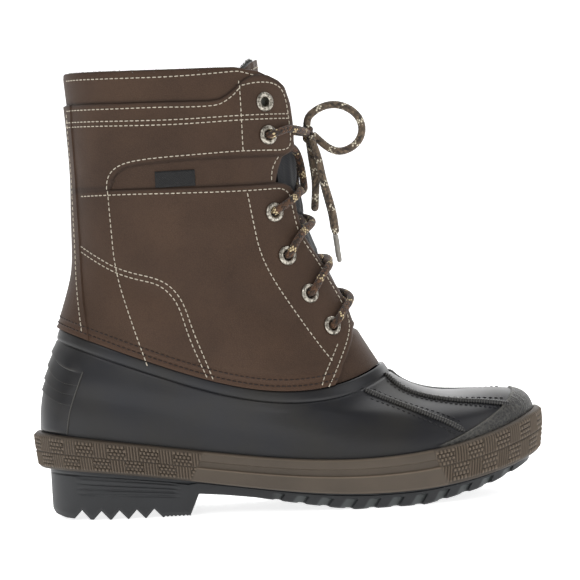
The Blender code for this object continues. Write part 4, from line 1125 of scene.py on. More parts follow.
@dataclass
class Rand:
    """Brown rubber rand: basket-weave blocks at heel and toe, a stepped smooth band between."""

    last: Last
    heel_x: float = -56.0
    toe_x: float = 89.0
    slant: float = 9.0
    ridge_pitch: float = 1.8
    ridge_height: float = 1.0
    block: float = 19.8
    ridged_part: float = 0.45
    dot_pitch: float = 2.4
    dot_row: float = 0.105
    middle: float = 0.52
    # Painted highlight on the raised weave and the lip; painted shade in the weave's low parts and in the
    # groove
    weave_highlight: float = 0.45
    lip_highlight: float = 0.8
    weave_painted_shade: float = 0.5
    groove_painted_shade: float = 0.12

    LEVELS = (0.03, 0.06, 0.10, 0.50, 0.535, 0.70, 0.73, 0.76, 0.90, 0.95, 0.98, 1.00)
    PLAIN = (3.4, 4.2, 4.5, 4.5, 4.5, 4.5, 4.5, 4.5, 4.5, 4.3, 3.9, 3.3)
    STEPPED = (3.4, 4.3, 4.7, 4.7, 3.3, 3.3, 4.1, 4.2, 4.2, 4.1, 3.8, 3.3)

    def columns(self) -> tuple[Array, Array]:
        """Angles round the loop, close together where the rand is patterned, and their run."""
        angles = np.linspace(0, TURN, 6000)
        loop = self.last.wall(angles, 0.5, 4.6)
        run = run_length(loop)
        patterned = (loop[:, 0] < self.heel_x + 8) | (loop[:, 0] > self.toe_x - 8)
        density = np.where(patterned, 4 / self.ridge_pitch, 0.35)
        count = np.concatenate([[0.0], np.cumsum(np.diff(run) * (density[1:] + density[:-1]) / 2)])
        places = np.linspace(0, count[-1], int(count[-1]), endpoint=False)
        at = np.interp(places, count, run)
        return np.interp(at, run, angles), at - np.where(at > run[-1] / 2, run[-1], 0)

    def blocks(self, run: Array, level: Array) -> Array:
        """Two rows of blocks, half a block apart: upright ridges beside rows of dots.

        Args:
            run: length round the rand.
            level: level of each point.

        Returns:
            Height from 0 to 1.
        """
        upper = level > self.middle
        shifted = (run / self.block + np.where(upper, 0.0, 0.5)) % 1
        ridged = shifted < self.ridged_part
        ridge = 0.5 + 0.5 * np.cos(TURN * run / self.ridge_pitch)
        row = level / self.dot_row
        dash = 0.5 + 0.5 * np.cos(TURN * (run / self.dot_pitch + 0.5 * np.floor(row)))
        dots = smooth(0.15, 0.6, np.sin(math.pi * (row % 1))) * smooth(0.10, 0.55, dash)
        height = np.where(ridged, ridge, dots)
        gutter = smooth(0.0, 0.03, np.abs(level - self.middle))
        return height * gutter * smooth(0.08, 0.14, level) * smooth(0.97, 0.92, level)

    def build(self) -> Piece:
        """Loop of profiles from the sole edge over the outside to the top and down inside."""
        angles, run = self.columns()
        angles, run = angles[:, None], run[:, None]
        rows = np.unique(np.concatenate([self.LEVELS, np.linspace(0.08, 0.95, 40)]))[None, :]
        place = self.last.wall(angles, rows, 4.0)
        x = place[..., 0] - self.slant * (0.5 - rows) * np.sign(place[..., 0])
        textured = np.maximum(smooth(self.heel_x + 0.8, self.heel_x - 0.8, x),
                              smooth(self.toe_x - 0.8, self.toe_x + 0.8, x))
        plain = np.interp(rows, self.LEVELS, self.PLAIN)
        stepped = np.interp(rows, self.LEVELS, self.STEPPED)
        weave = self.blocks(run, rows) * textured
        outer = stepped + (plain - stepped) * textured + self.ridge_height * weave
        lateral = lateral_twin(angles)
        inside = np.where(lateral < 0.97, 0.9, 0.0) + 0.35
        inner_rows = np.array([[1.0, 0.75, 0.5, 0.25, 0.03]])
        levels = np.concatenate([rows, inner_rows], axis=1)
        offsets = np.concatenate([outer, np.repeat(inside, inner_rows.shape[1], axis=1)], axis=1)
        bare = 1 - textured
        # Painted light: the lip bead, the top edge and the raised weave paler as highlights; the groove and the
        # weave's low parts darker as shade
        lip = smooth(0.025, 0.0, np.abs(rows - 0.497)) * bare + 0.5 * smooth(0.03, 0.0, np.abs(rows - 0.965))
        groove = smooth(0.515, 0.545, rows) * smooth(0.725, 0.69, rows) * bare
        worn = self.weave_highlight * weave + self.lip_highlight * lip
        hollow = self.weave_painted_shade * textured * (1 - weave) + self.groove_painted_shade * groove
        marks = outer_marks(inner_rows.shape[1], worn=worn, hollow=hollow)
        points = self.last.wall(angles, levels, offsets)
        faces, _ = grid_faces(*offsets.shape, wrap_rows=True, wrap_columns=True)
        return make_piece("rand_band", points, faces, RAND_RUBBER, marks=marks, stands_for=["rand"], crease=60)


@dataclass
class Outsole:
    """Lug outsole: notched heel block, arch and forefoot with cross grooves."""

    last: Last
    inset: float = -1.6
    step: float = 0.6
    side_rows: int = 52
    split_row: float = 0.62
    split_height: float = 0.45
    floor_rows: int = 30
    lug_first: float = -9.0
    lug_pitch: float = 14.0
    lug_depth: float = 3.6
    notch_half: float = 5.0
    notch_depth: float = 5.4
    chevron: float = 7.0
    heel_end: float = -58.0
    edge_share: float = 0.15
    lug_relief: float = 1.8
    facet_highlight: float = 0.5
    least: float = 2.0

    NOTCHES = (-127.5, -115.5, -104.5, -94.0, -83.5)
    BOTTOM = spots(
        (-147.5, 6.6), (-144.5, 3.4), (-138.0, 1.5), (-130.0, 0.8), (-116.0, 0.1), (-62.0, 0.0), (-56.0, 13.0),
        (-40.0, 11.6), (-22.0, 9.4), (-10.0, 7.3), (2.0, 5.2), (14.0, 3.3), (25.0, 1.5), (37.0, 0.0),
        (78.0, 0.0), (86.0, 1.3), (97.0, 3.6), (110.0, 6.2), (122.0, 9.5), (136.0, 14.6), (147.0, 19.0),
    )
    # fine grooves round the heel block, as parts of its side above the notches
    HEEL_GROOVES = (0.25, 0.45, 0.65, 0.85)

    def stations(self, start: float, end: float) -> Array:
        """Places along the boot, closer together at the round ends and at sharp edges."""
        turn = 1 - np.cos(np.linspace(0, math.pi / 2, 44))
        sharp = [n + d for n in self.NOTCHES for d in (-self.notch_half, 0, self.notch_half)]
        sharp += [p.x for p in self.BOTTOM[3:-2]]
        middle = np.arange(start + 30, end - 30, self.step)
        return np.unique(np.round(np.concatenate([start + 34 * turn, end - 34 * turn, middle, sharp]), 3))

    def depth(self, x: Array, across: Array) -> Array:
        """Depth of the tread: V notches at the heel, chevron grooves in front, fine saw teeth.

        Args:
            x: place along the boot.
            across: place across it, from 0 to 1.

        Returns:
            Depth of each point.
        """
        bent = x - self.chevron * np.sin(math.pi * across)
        away = np.abs((bent - self.lug_first + self.lug_pitch / 2) % self.lug_pitch - self.lug_pitch / 2)
        groove = np.clip((3.0 - away) / 1.4, 0, 1) * self.lug_depth
        groove = groove * smooth(-16, -12, x) * smooth(137, 133, x)
        notch = sum(np.clip(1 - np.abs(x - n) / self.notch_half, 0, 1) for n in self.NOTCHES)
        teeth = np.abs(x / 2.4 % 1 - 0.5) * 2.0 * ((x > -77.5) & (x < -62.5))
        split = smooth(0.035, 0.02, np.abs(across - 0.5)) * 2.2 * smooth(25, 33, x) * smooth(128, 118, x)
        return np.maximum(np.maximum(groove, notch * self.notch_depth), np.maximum(teeth, split))

    def build(self) -> Piece:
        """Sections across the boot: top, side with grooves and slanted lugs, tread, other side."""
        lateral_line = self.last.outline(0.0, self.inset, Side.LATERAL)
        medial_line = self.last.outline(0.0, self.inset, Side.MEDIAL)
        x = self.stations(lateral_line[0][0] + 0.06, lateral_line[0][-1] - 0.06)[:, None]
        lateral, medial = np.interp(x, *lateral_line), np.interp(x, *medial_line)
        top = self.last.sole_height(x, 0.0) - 0.35
        roof = top - self.least
        plain = np.minimum(along_line(self.BOTTOM, x), roof)
        split = plain + self.split_height * (top - plain)
        drop = np.linspace(0, 1, self.side_rows)[None, :]
        sections, facets = [], []
        for edge, inwards, across in ((lateral, 1, 0.0), (medial, -1, 1.0)):
            share = np.where(x < self.heel_end, 1.0, self.edge_share)
            low = np.minimum(plain + self.depth(x, np.full_like(x, across)) * share, roof)
            upper, under = drop / self.split_row, (drop - self.split_row) / (1 - self.split_row)
            z = np.where(upper < 1, top - upper * (top - split), split - under * (split - low))
            on_heel = smooth(-131, -124, x) * smooth(-66, -72, x)
            grooves = sum(smooth(0.055, 0.02, np.abs(upper - g)) for g in self.HEEL_GROOVES) * 0.45 * on_heel
            turn = ((x - 0.75 * (z - plain) - self.lug_first) / self.lug_pitch + 0.5) % 1
            zone = smooth(0.30, 0.44, drop) * smooth(-14, -6, x) * smooth(141, 132, x)
            ramp = np.clip((turn - 0.08) / 0.42, 0, 1) * np.clip((0.60 - turn) / 0.08, 0, 1)
            lugs = self.lug_relief * ramp * zone
            # Slanted faces of the lugs, painted paler as a highlight
            facets.append(smooth(0.06, 0.16, turn) * smooth(0.58, 0.50, turn) * zone)
            chamfer = 1.0 * smooth(0.90, 1.0, drop) + 0.7 * smooth(0.04, 0.0, np.abs(drop - 0.10))
            room = (medial - lateral) / 5
            y = edge + inwards * np.minimum(grooves + lugs + chamfer, room)
            sections.append(grid_points(x, y, z))
        across = np.linspace(0, 1, self.floor_rows)[None, 1:-1]
        left, right = sections[0][:, -1:], sections[1][:, -1:]
        floor_y = left[..., 1] + (right[..., 1] - left[..., 1]) * across
        floor_z = np.minimum(along_line(self.BOTTOM, x) + self.depth(x, across), roof)
        floor = grid_points(x, floor_y, floor_z)
        points = np.concatenate([sections[0], floor, sections[1][:, ::-1]], axis=1)
        faces, _ = grid_faces(*points.shape[:2], wrap_columns=True)
        size = points.shape[1]
        last = (len(points) - 1) * size
        ends = [tuple(range(size)), tuple(range(last, last + size))]
        # Painted highlight on the lugs' slanted faces
        worn = np.zeros(points.shape[:2])
        worn[:, :self.side_rows] = self.facet_highlight * facets[0]
        worn[:, -self.side_rows:] = self.facet_highlight * facets[1][:, ::-1]
        return make_piece("outsole_lugged", points, faces.tolist() + ends, SOLE_RUBBER, marks={"worn": worn},
                          stands_for=["outsole"], crease=28)


@dataclass
class Footbed:
    """Felt insole, cupped a little at its edge."""

    last: Last
    ease: float = 1.4
    thick: float = 5.0
    cup: float = 1.6
    round_off: float = 36.0

    def build(self) -> Piece:
        """Sheet between two grids: floor and cupped top."""
        offset = -SHELL_WALL - self.ease
        lateral_line = self.last.outline(0.0, offset, Side.LATERAL)
        medial_line = self.last.outline(0.0, offset, Side.MEDIAL)
        start, end = lateral_line[0][0] + 0.5, lateral_line[0][-1] - 0.5
        turn = 1 - np.cos(np.linspace(0, math.pi / 2, 24))
        middle = np.linspace(start + self.round_off, end - self.round_off, 50)
        x = np.concatenate([start + self.round_off * turn, end - self.round_off * turn, middle])
        x = np.unique(x)[:, None]
        across = np.sin(np.linspace(-math.pi / 2, math.pi / 2, 31))[None, :]
        low, high = np.interp(x, *lateral_line), np.interp(x, *medial_line)
        y = (low + high) / 2 + (high - low) / 2 * across
        floor = self.last.sole_height(x, 0.0) + 0.35 + 0 * across
        rim = np.abs(across) ** 6
        top = floor + self.thick - 1.2 * np.abs(across) ** 30 + self.cup * (rim - np.abs(across) ** 30)
        solid = sheet(grid_points(x, y, top), grid_points(x, y, floor))
        return make_piece("insole_felt", **solid, finish=FELT, stands_for=["insole"])


class Crease(NamedTuple):
    """A soft trough (or ridge) laid on the shaft, from one side-view spot to another."""

    start: Spot
    end: Spot
    height: float
    width: float


@dataclass
class LeatherShaft:
    """Leather shaft: lower quarter, recessed strip, upper panel with lace tab, back strip and collar."""

    last: Last
    front_columns: int = 112
    strip_columns: int = 13
    line_gap: float = 0.018
    hole: float = 3.3
    edge_round: float = 0.7
    level_rise: float = 22.0

    # how deep the two rows of stitches draw the hem in
    HEM_DENTS = (0.45, 0.35)
    CREASES = (
        Crease(Spot(-112, 158), Spot(-62, 128), -0.7, 7.0), Crease(Spot(-108, 140), Spot(-70, 112), 0.5, 8.0),
        Crease(Spot(-30, 132), Spot(8, 108), -0.6, 7.0), Crease(Spot(-58, 176), Spot(-10, 166), 0.5, 10.0),
        Crease(Spot(-95, 228), Spot(-40, 224), 0.35, 9.0), Crease(Spot(-78, 100), Spot(-30, 92), -0.4, 6.0),
    )

    def angles(self, levels: Array) -> Array:
        """Angle of every column: the first on the throat's edge, one on the back strip's edge.

        Args:
            levels: levels of the points, columns last, or one column of levels.

        Returns:
            Angles of the lateral half, from the throat to the back centre.
        """
        row = self.last.row(levels)
        height = row.z_back
        for _ in range(5):
            along = (across_line(BACK_STRIP_EDGE, height) - row.back_x) / (row.front_x - row.back_x)
            height = self.last.height(along, row)
        strip = np.arccos(np.clip(2 * along - 1, -1, 1))
        throat = self.last.throat(levels)
        part = [np.linspace(0, 1, self.front_columns), 1 + np.linspace(0, 1, self.strip_columns)]
        part = np.concatenate(part)
        front = throat + (strip - 0.004 - throat) * np.clip(part, 0, 1)
        back = (strip + 0.004) + (math.pi - strip - 0.004) * np.clip(part - 1, 0, 1)
        return np.where(np.arange(len(part)) < self.front_columns, front, back)

    def line_levels(self, line: Sequence[Spot]) -> Array:
        """Level at which each column crosses a side-view line."""
        levels = np.linspace(4.0, 12.3, 420)[:, None]
        side = self.last.point(self.angles(levels), levels)
        above = side[..., 2] - along_line(line, side[..., 0])
        return np.array([np.interp(0.0, gap, levels[:, 0]) for gap in above.T])

    def face(self, place: Array) -> Array:
        """Offset of the leather's face at points of the last, by the panel that lies there."""
        x, z = place[..., 0], place[..., 2]
        recess = (z > along_line(QUARTER_TOP, x)) & (z < along_line(RECESS_TOP, x))
        collar = z > np.minimum(along_line(COLLAR_SEAM, x), along_line(COLLAR_EDGE, x) - 0.2)
        face = np.where(recess | collar, LEATHER_BASE, LEATHER_BASE + OVERLAY)
        return np.where((x < across_line(BACK_STRIP_EDGE, z)) & ~collar, face + BACK_STRIP, face)

    def soften(self, place: Array) -> Array:
        """Creases as listed, over a slight overall unevenness."""
        height = ripple(place, 11, (70, 41, 26), 0.16)
        for crease in self.CREASES:
            start, end = np.array(crease.start), np.array(crease.end)
            way = (end - start) / np.linalg.norm(end - start)
            seen = place[..., ::2] - start
            run = seen @ way
            beside = seen @ np.array([-way[1], way[0]])
            length = np.linalg.norm(end - start)
            fade = smooth(-12, 14, run) * smooth(length + 12, length - 14, run)
            height = height + crease.height * np.exp(-(beside / crease.width) ** 2) * fade
        return height

    def grid(self) -> tuple[Array, Array, Array]:
        """Rows that follow the panel lines.

        Returns:
            Angles and levels of the lateral half, and how near each row is to a panel line.
        """
        top = self.line_levels(COLLAR_EDGE)
        quarter, recess, seam = (self.line_levels(line) for line in (QUARTER_TOP, RECESS_TOP, COLLAR_SEAM))
        seam = np.minimum(seam, top - 3 * self.line_gap)
        recess = np.maximum(recess, quarter + 2.2 * self.line_gap)
        gap = self.line_gap
        bands = ((np.full_like(top, HEM_LEVEL), quarter - gap, 84), (quarter + gap, recess - gap, 13),
                 (recess + gap, seam - gap, 30), (seam + gap, top, 15))
        rows, near = [], []
        for low, high, count in bands:
            part = np.linspace(0, 1, count)[:, None]
            rows.append(low + (high - low) * part)
            near.append(np.isin(np.arange(count), (0, count - 1)).astype(float))
        near[0][0] = 0.0
        levels = np.concatenate(rows)
        return self.angles(levels), levels, np.concatenate(near)

    def build(self) -> Piece:
        """Wall between the leather's face and its lining side, with eyelet holes left open."""
        angles, levels, near = self.grid()
        place = self.last.point(angles, levels)
        front_edge = smooth(1.6, 0.0, np.arange(angles.shape[1]))[None, :]
        top_edge = smooth(2.2, 0.0, np.arange(len(levels))[::-1])[:, None]
        face = self.face(place) + self.soften(place) - self.edge_round * np.maximum(front_edge, top_edge)
        above_hem = (levels - HEM_LEVEL) * self.level_rise
        for row, depth in zip(HEM_ROWS, self.HEM_DENTS):
            face = face - depth * np.exp(-((above_hem - row) / 1.1) ** 2)
        signed, levels = both_halves(angles, -1), both_halves(levels)
        outer = self.last.wall(signed, levels, both_halves(face))
        inner = self.last.wall(signed, levels, LEATHER_INNER)
        cells = (outer[:-1, :-1] + outer[1:, 1:]) / 2
        keep = np.ones(cells.shape[:2], dtype=bool)
        for centre, _ in eyelet_seats(self.last).values():
            keep &= np.linalg.norm(cells - centre, axis=-1) > self.hole
        faces, _ = wall_faces(*outer.shape[:2], keep)
        points = np.concatenate([outer, inner]).reshape(-1, 3)
        used, renumbered = np.unique(faces, return_inverse=True)
        # Rows on both sides of each panel line are darkened: raw cut edge on the overlay's side, painted shadow
        # beside its step on the other
        edge = np.broadcast_to(0.55 * near[:, None], signed.shape)
        hem = both_halves(smooth(9.0, 4.0, above_hem))
        marks = {key: np.append(mark, 0 * mark)[used] for key, mark in (("edge", edge), ("hem", hem))}
        return make_piece("leather_shaft_sewn", points[used], renumbered.reshape(faces.shape), LEATHER,
                          marks=marks, stands_for=["leather_shaft"], crease=40)


def eyelet_seats(last: Last) -> dict[str, tuple[Array, Array]]:
    """Centre and axis of every eyelet, by the name of its solid."""
    angle, level = last.locate(*np.transpose(EYELET_SPOTS))
    seats = {}
    for side in Side:
        centres = last.wall(angle * side.value, level, EYELET_SEAT)
        axes = last.normal(angle * side.value, level)
        for i in range(len(EYELET_SPOTS)):
            seats[f"eyelet_{side.name.lower()}_{i + 1}"] = (centres[i], axes[i])
    return seats


@dataclass
class Stitching:
    """Rows of stitches on both sides of the shaft."""

    last: Last
    shaft: LeatherShaft
    pitch: float = 3.3
    length: float = 2.5
    radius: float = 0.34

    SEAMS = (
        spots((-122, 265.4), (-88, 263.6), (-52, 262.8), (-30, 263.4), (-22, 263.8), (-18, 263.8), (-14, 262.8),
              (-8, 260.9)),
        spots((-121, 247.4), (-89, 245.8), (-59, 244.8), (-36, 244.2), (-30, 245.0), (-25, 247.6), (-20, 251.8),
              (-17.4, 255.0)),
        spots((-17.2, 255.2), (-12, 256.3), (-5, 256.8), (0, 256.2), (4.6, 253.8), (7.2, 249.4), (8.4, 244),
              (9.2, 236), (9.6, 227), (9.4, 221), (8.0, 217.4), (5.0, 216.3), (-2, 216.3)),
        spots((-2, 216.3), (-20, 216.6), (-43, 216.1), (-67, 215.4), (-80, 214.5), (-90, 212.4), (-96, 208.6),
              (-98.8, 203.4), (-99.4, 199)),
        spots((-18, 258.6), (-18, 246), (-18, 232), (-18, 217)),
        spots((-122, 240.4), (-90, 238.5), (-56, 237.3), (-20, 237.6), (9.0, 237.6)),
        spots((-122, 237.6), (-90, 235.7), (-56, 234.5), (-20, 234.9), (9.0, 234.9)),
        spots((-116, 195.2), (-99, 195), (-50, 193.6), (-18, 193), (-2, 193.2), (4, 192.4), (7, 189.4),
              (8.2, 184), (9.4, 176), (12.4, 164.6), (20.4, 150), (28.6, 134.8), (35.2, 121.6), (38.8, 109),
              (37.4, 100.4), (32.8, 89), (27.4, 77.6), (24.8, 73)),
        spots((31.6, 98), (26.8, 88), (21.6, 76.6), (20.6, 73)),
        spots((-99, 198), (-98, 165), (-97, 150), (-93, 132), (-87.5, 111), (-82, 92)),
        spots((-118, 165.4), (-107, 157.6), (-99, 152.6), (-83, 146.6), (-71, 142.4), (-65, 138),
              (-59.6, 130.6), (-54.4, 115.5), (-48.4, 97.5), (-43.2, 82.6)),
        spots((-118, 162), (-107, 154.2), (-99, 149.4), (-83, 143.4), (-72, 139.4), (-67.4, 135.6),
              (-62.6, 129), (-57.6, 114.2), (-51.6, 96), (-46.6, 83.4)),
        spots((-17, 192), (-14.6, 175), (-11.4, 157), (-3.4, 137.5), (7.4, 119), (18.4, 101.4), (28.4, 87.2)),
        spots((-121.2, 246), (-120.9, 205), (-121, 169), (-120.6, 132), (-119.2, 112)),
        spots((-1.9, 197.9), (-1.2, 204), (0.7, 208.8), (3, 212.2)),
    )

    def sewn(self, angle: Array, level: Array, side: Side) -> tuple[Array, list]:
        """Stitches an even pitch apart along a line on the leather's face.

        Args:
            angle: angles along the line, lateral half.
            level: levels along the line.
            side: side of the boot.

        Returns:
            Points and faces of the stitches.
        """
        place = self.last.point(angle, level)
        offset = self.shaft.face(place) + self.shaft.soften(place)
        line = self.last.wall(angle * side.value, level, offset)
        run = run_length(line)
        centres_at = np.arange(self.pitch / 2, run[-1], self.pitch)
        angle, level = np.interp(centres_at, run, angle), np.interp(centres_at, run, level)
        place = self.last.point(angle, level)
        offset = self.shaft.face(place) + self.shaft.soften(place) + 0.12
        centres = self.last.wall(angle * side.value, level, offset)
        up = self.last.normal(angle * side.value, level)
        way = square_to(up, rows_at(centres_at, run, np.gradient(line, axis=0)))
        return beads(centres, way, up, self.length, self.radius, 0.42)

    def hem_line(self, above: float) -> tuple[Array, Array]:
        """Line at a distance above the hem, from the throat to the back."""
        edge = float(self.last.throat(HEM_LEVEL + 0.2))
        angle = np.linspace(edge + 0.04, math.pi, 160)
        step = self.last.point(angle, HEM_LEVEL + 0.3) - self.last.point(angle, HEM_LEVEL)
        return angle, HEM_LEVEL + 0.3 * above / np.linalg.norm(step, axis=-1)

    def build(self) -> None:
        """Cream rows on every seam and two brown rows along the hem."""
        cream, brown = [], []
        for side in Side:
            for seam in self.SEAMS:
                cream.append(self.sewn(*self.last.locate(*even_route(seam, 1.2).T), side))
            for above in HEM_ROWS:
                brown.append(self.sewn(*self.hem_line(above), side))
        make_piece("stitching_cream", *merge(cream), CREAM_THREAD, crease=80)
        make_piece("stitching_hem", *merge(brown), BROWN_THREAD, crease=80)


@dataclass
class Lining:
    """Fleece inside the shaft and shell, with a fuzzy roll that shows at the collar."""

    last: Last
    shaft: LeatherShaft
    thick: float = 1.6
    roll: float = 2.1
    roll_from: float = 0.62
    tufts: int = 2600

    def sleeve(self) -> Piece:
        """Skin inside the shaft, from the collar down to the hem."""
        top = self.shaft.line_levels(COLLAR_EDGE)[::3]
        part = np.linspace(0, 1, 46)[:, None]
        levels = HEM_LEVEL + 0.5 + (top - 0.03 - HEM_LEVEL - 0.5) * part
        columns = [self.shaft.angles(column[:, None])[:, 3 * i] for i, column in enumerate(levels.T)]
        angles = np.stack(columns, axis=1) + 0.03
        signed = np.concatenate([angles, -angles[:, ::-1]], axis=1)
        levels = np.concatenate([levels, levels[:, ::-1]], axis=1)
        bump = ripple(self.last.point(signed, levels), 3, (9, 5), 0.2)
        outer = self.last.wall(signed, levels, LEATHER_INNER - 0.3)
        inner = self.last.wall(signed, levels, LEATHER_INNER - 0.3 - self.thick + bump)
        return make_piece("shaft_lining", **sheet(outer, inner), finish=FLEECE)

    def foot(self) -> Piece:
        """Skin inside the rubber shell, a closed loop from the footbed to the hem."""
        angles = np.linspace(0, TURN, 180, endpoint=False)[:, None]
        front = smooth(1.5, 1.1, lateral_twin(angles))
        part = np.linspace(0, 1, 26)[None, :]
        levels = 0.55 + part * (SHELL_TOP + 0.3 - 0.38 * front - 0.55)
        outer = self.last.wall(angles, levels, -SHELL_WALL - 0.75)
        inner = self.last.wall(angles, levels, -SHELL_WALL - 2.0 + ripple(outer, 5, (9, 5), 0.15))
        loop = np.concatenate([outer, inner[:, ::-1]], axis=1)
        faces, _ = grid_faces(*loop.shape[:2], wrap_rows=True, wrap_columns=True)
        return make_piece("foot_lining", loop, faces, FLEECE)

    def collar_roll(self) -> tuple[Array, Array]:
        """Path of the roll along the collar's edge, from one lace tab round the back to the other."""
        levels = self.shaft.line_levels(COLLAR_EDGE)
        angles = np.array([self.shaft.angles(np.full((1, 1), level))[0, i] for i, level in enumerate(levels)])
        behind = angles > self.roll_from
        return both_halves(angles[behind], -1), both_halves(levels[behind])

    def build(self) -> None:
        """Sleeve, foot skin, collar roll and its loose fibres."""
        self.sleeve()
        self.foot()
        angles, levels = self.collar_roll()
        centre = self.last.wall(angles, levels - 0.09, LEATHER_INNER - 0.7)
        path = even_route(centre, 1.3)
        ends = np.clip(np.minimum(run_length(path), run_length(path)[::-1]) / 14.0, 0.1, 1)
        radius = self.roll * np.sqrt(ends) * (1 + 0.1 * ripple(path, 8, (7, 4.3, 2.9), 1.0))
        points, faces, _ = tube(path, radius, 12)
        make_piece("collar_fleece", points, faces, FLEECE, crease=180)
        rng = np.random.default_rng(21)
        pick = rng.integers(4, len(path) - 4, self.tufts)
        out = unit(rng.normal(size=(self.tufts, 3)) + (0, 0, 1.1))
        aside = rng.normal(scale=0.5, size=(self.tufts, 3)) * (1, 1, 0)
        roots = path[pick] + out * (radius[pick] * 0.8)[:, None] + aside
        make_fibres("collar_fibres", roots, out, rng, 1.2)


def make_fibres(
    name: str, roots: Array, out: Array, rng: np.random.Generator, length: float
) -> Piece:
    """Loose fleece fibres: thin three-sided blades that taper to a point and bend.

    Args:
        name: name of the piece.
        roots: where they start.
        out: unit directions that they leave in.
        rng: source of lengths and bends.
        length: usual length.

    Returns:
        The piece.
    """
    count = len(roots)
    tall = length * rng.uniform(0.5, 1.25, count)[:, None]
    bend = rng.normal(scale=0.35, size=(count, 3)) * tall
    middle, tip = roots + out * tall * 0.55 + bend * 0.3, roots + out * tall + bend
    across = unit(np.cross(out, rng.normal(size=(count, 3))))
    ring = rings(across, np.cross(out, across), 3)
    points = [roots[:, None] + ring * 0.17, middle[:, None] + ring * 0.12, tip[:, None]]
    template = [(0, 1, 4, 3), (1, 2, 5, 4), (2, 0, 3, 5), (3, 4, 6), (4, 5, 6), (5, 3, 6), (2, 1, 0)]
    faces = [tuple(k + 7 * i for k in face) for i in range(count) for face in template]
    return make_piece(name, np.concatenate(points, axis=1), faces, FLEECE, crease=180)


class TongueRow(NamedTuple):
    """Offset of the tongue's face, its lean to the back, thickness and half angle at a level."""

    level: float
    face: float
    lean: float
    thick: float
    half_angle: float


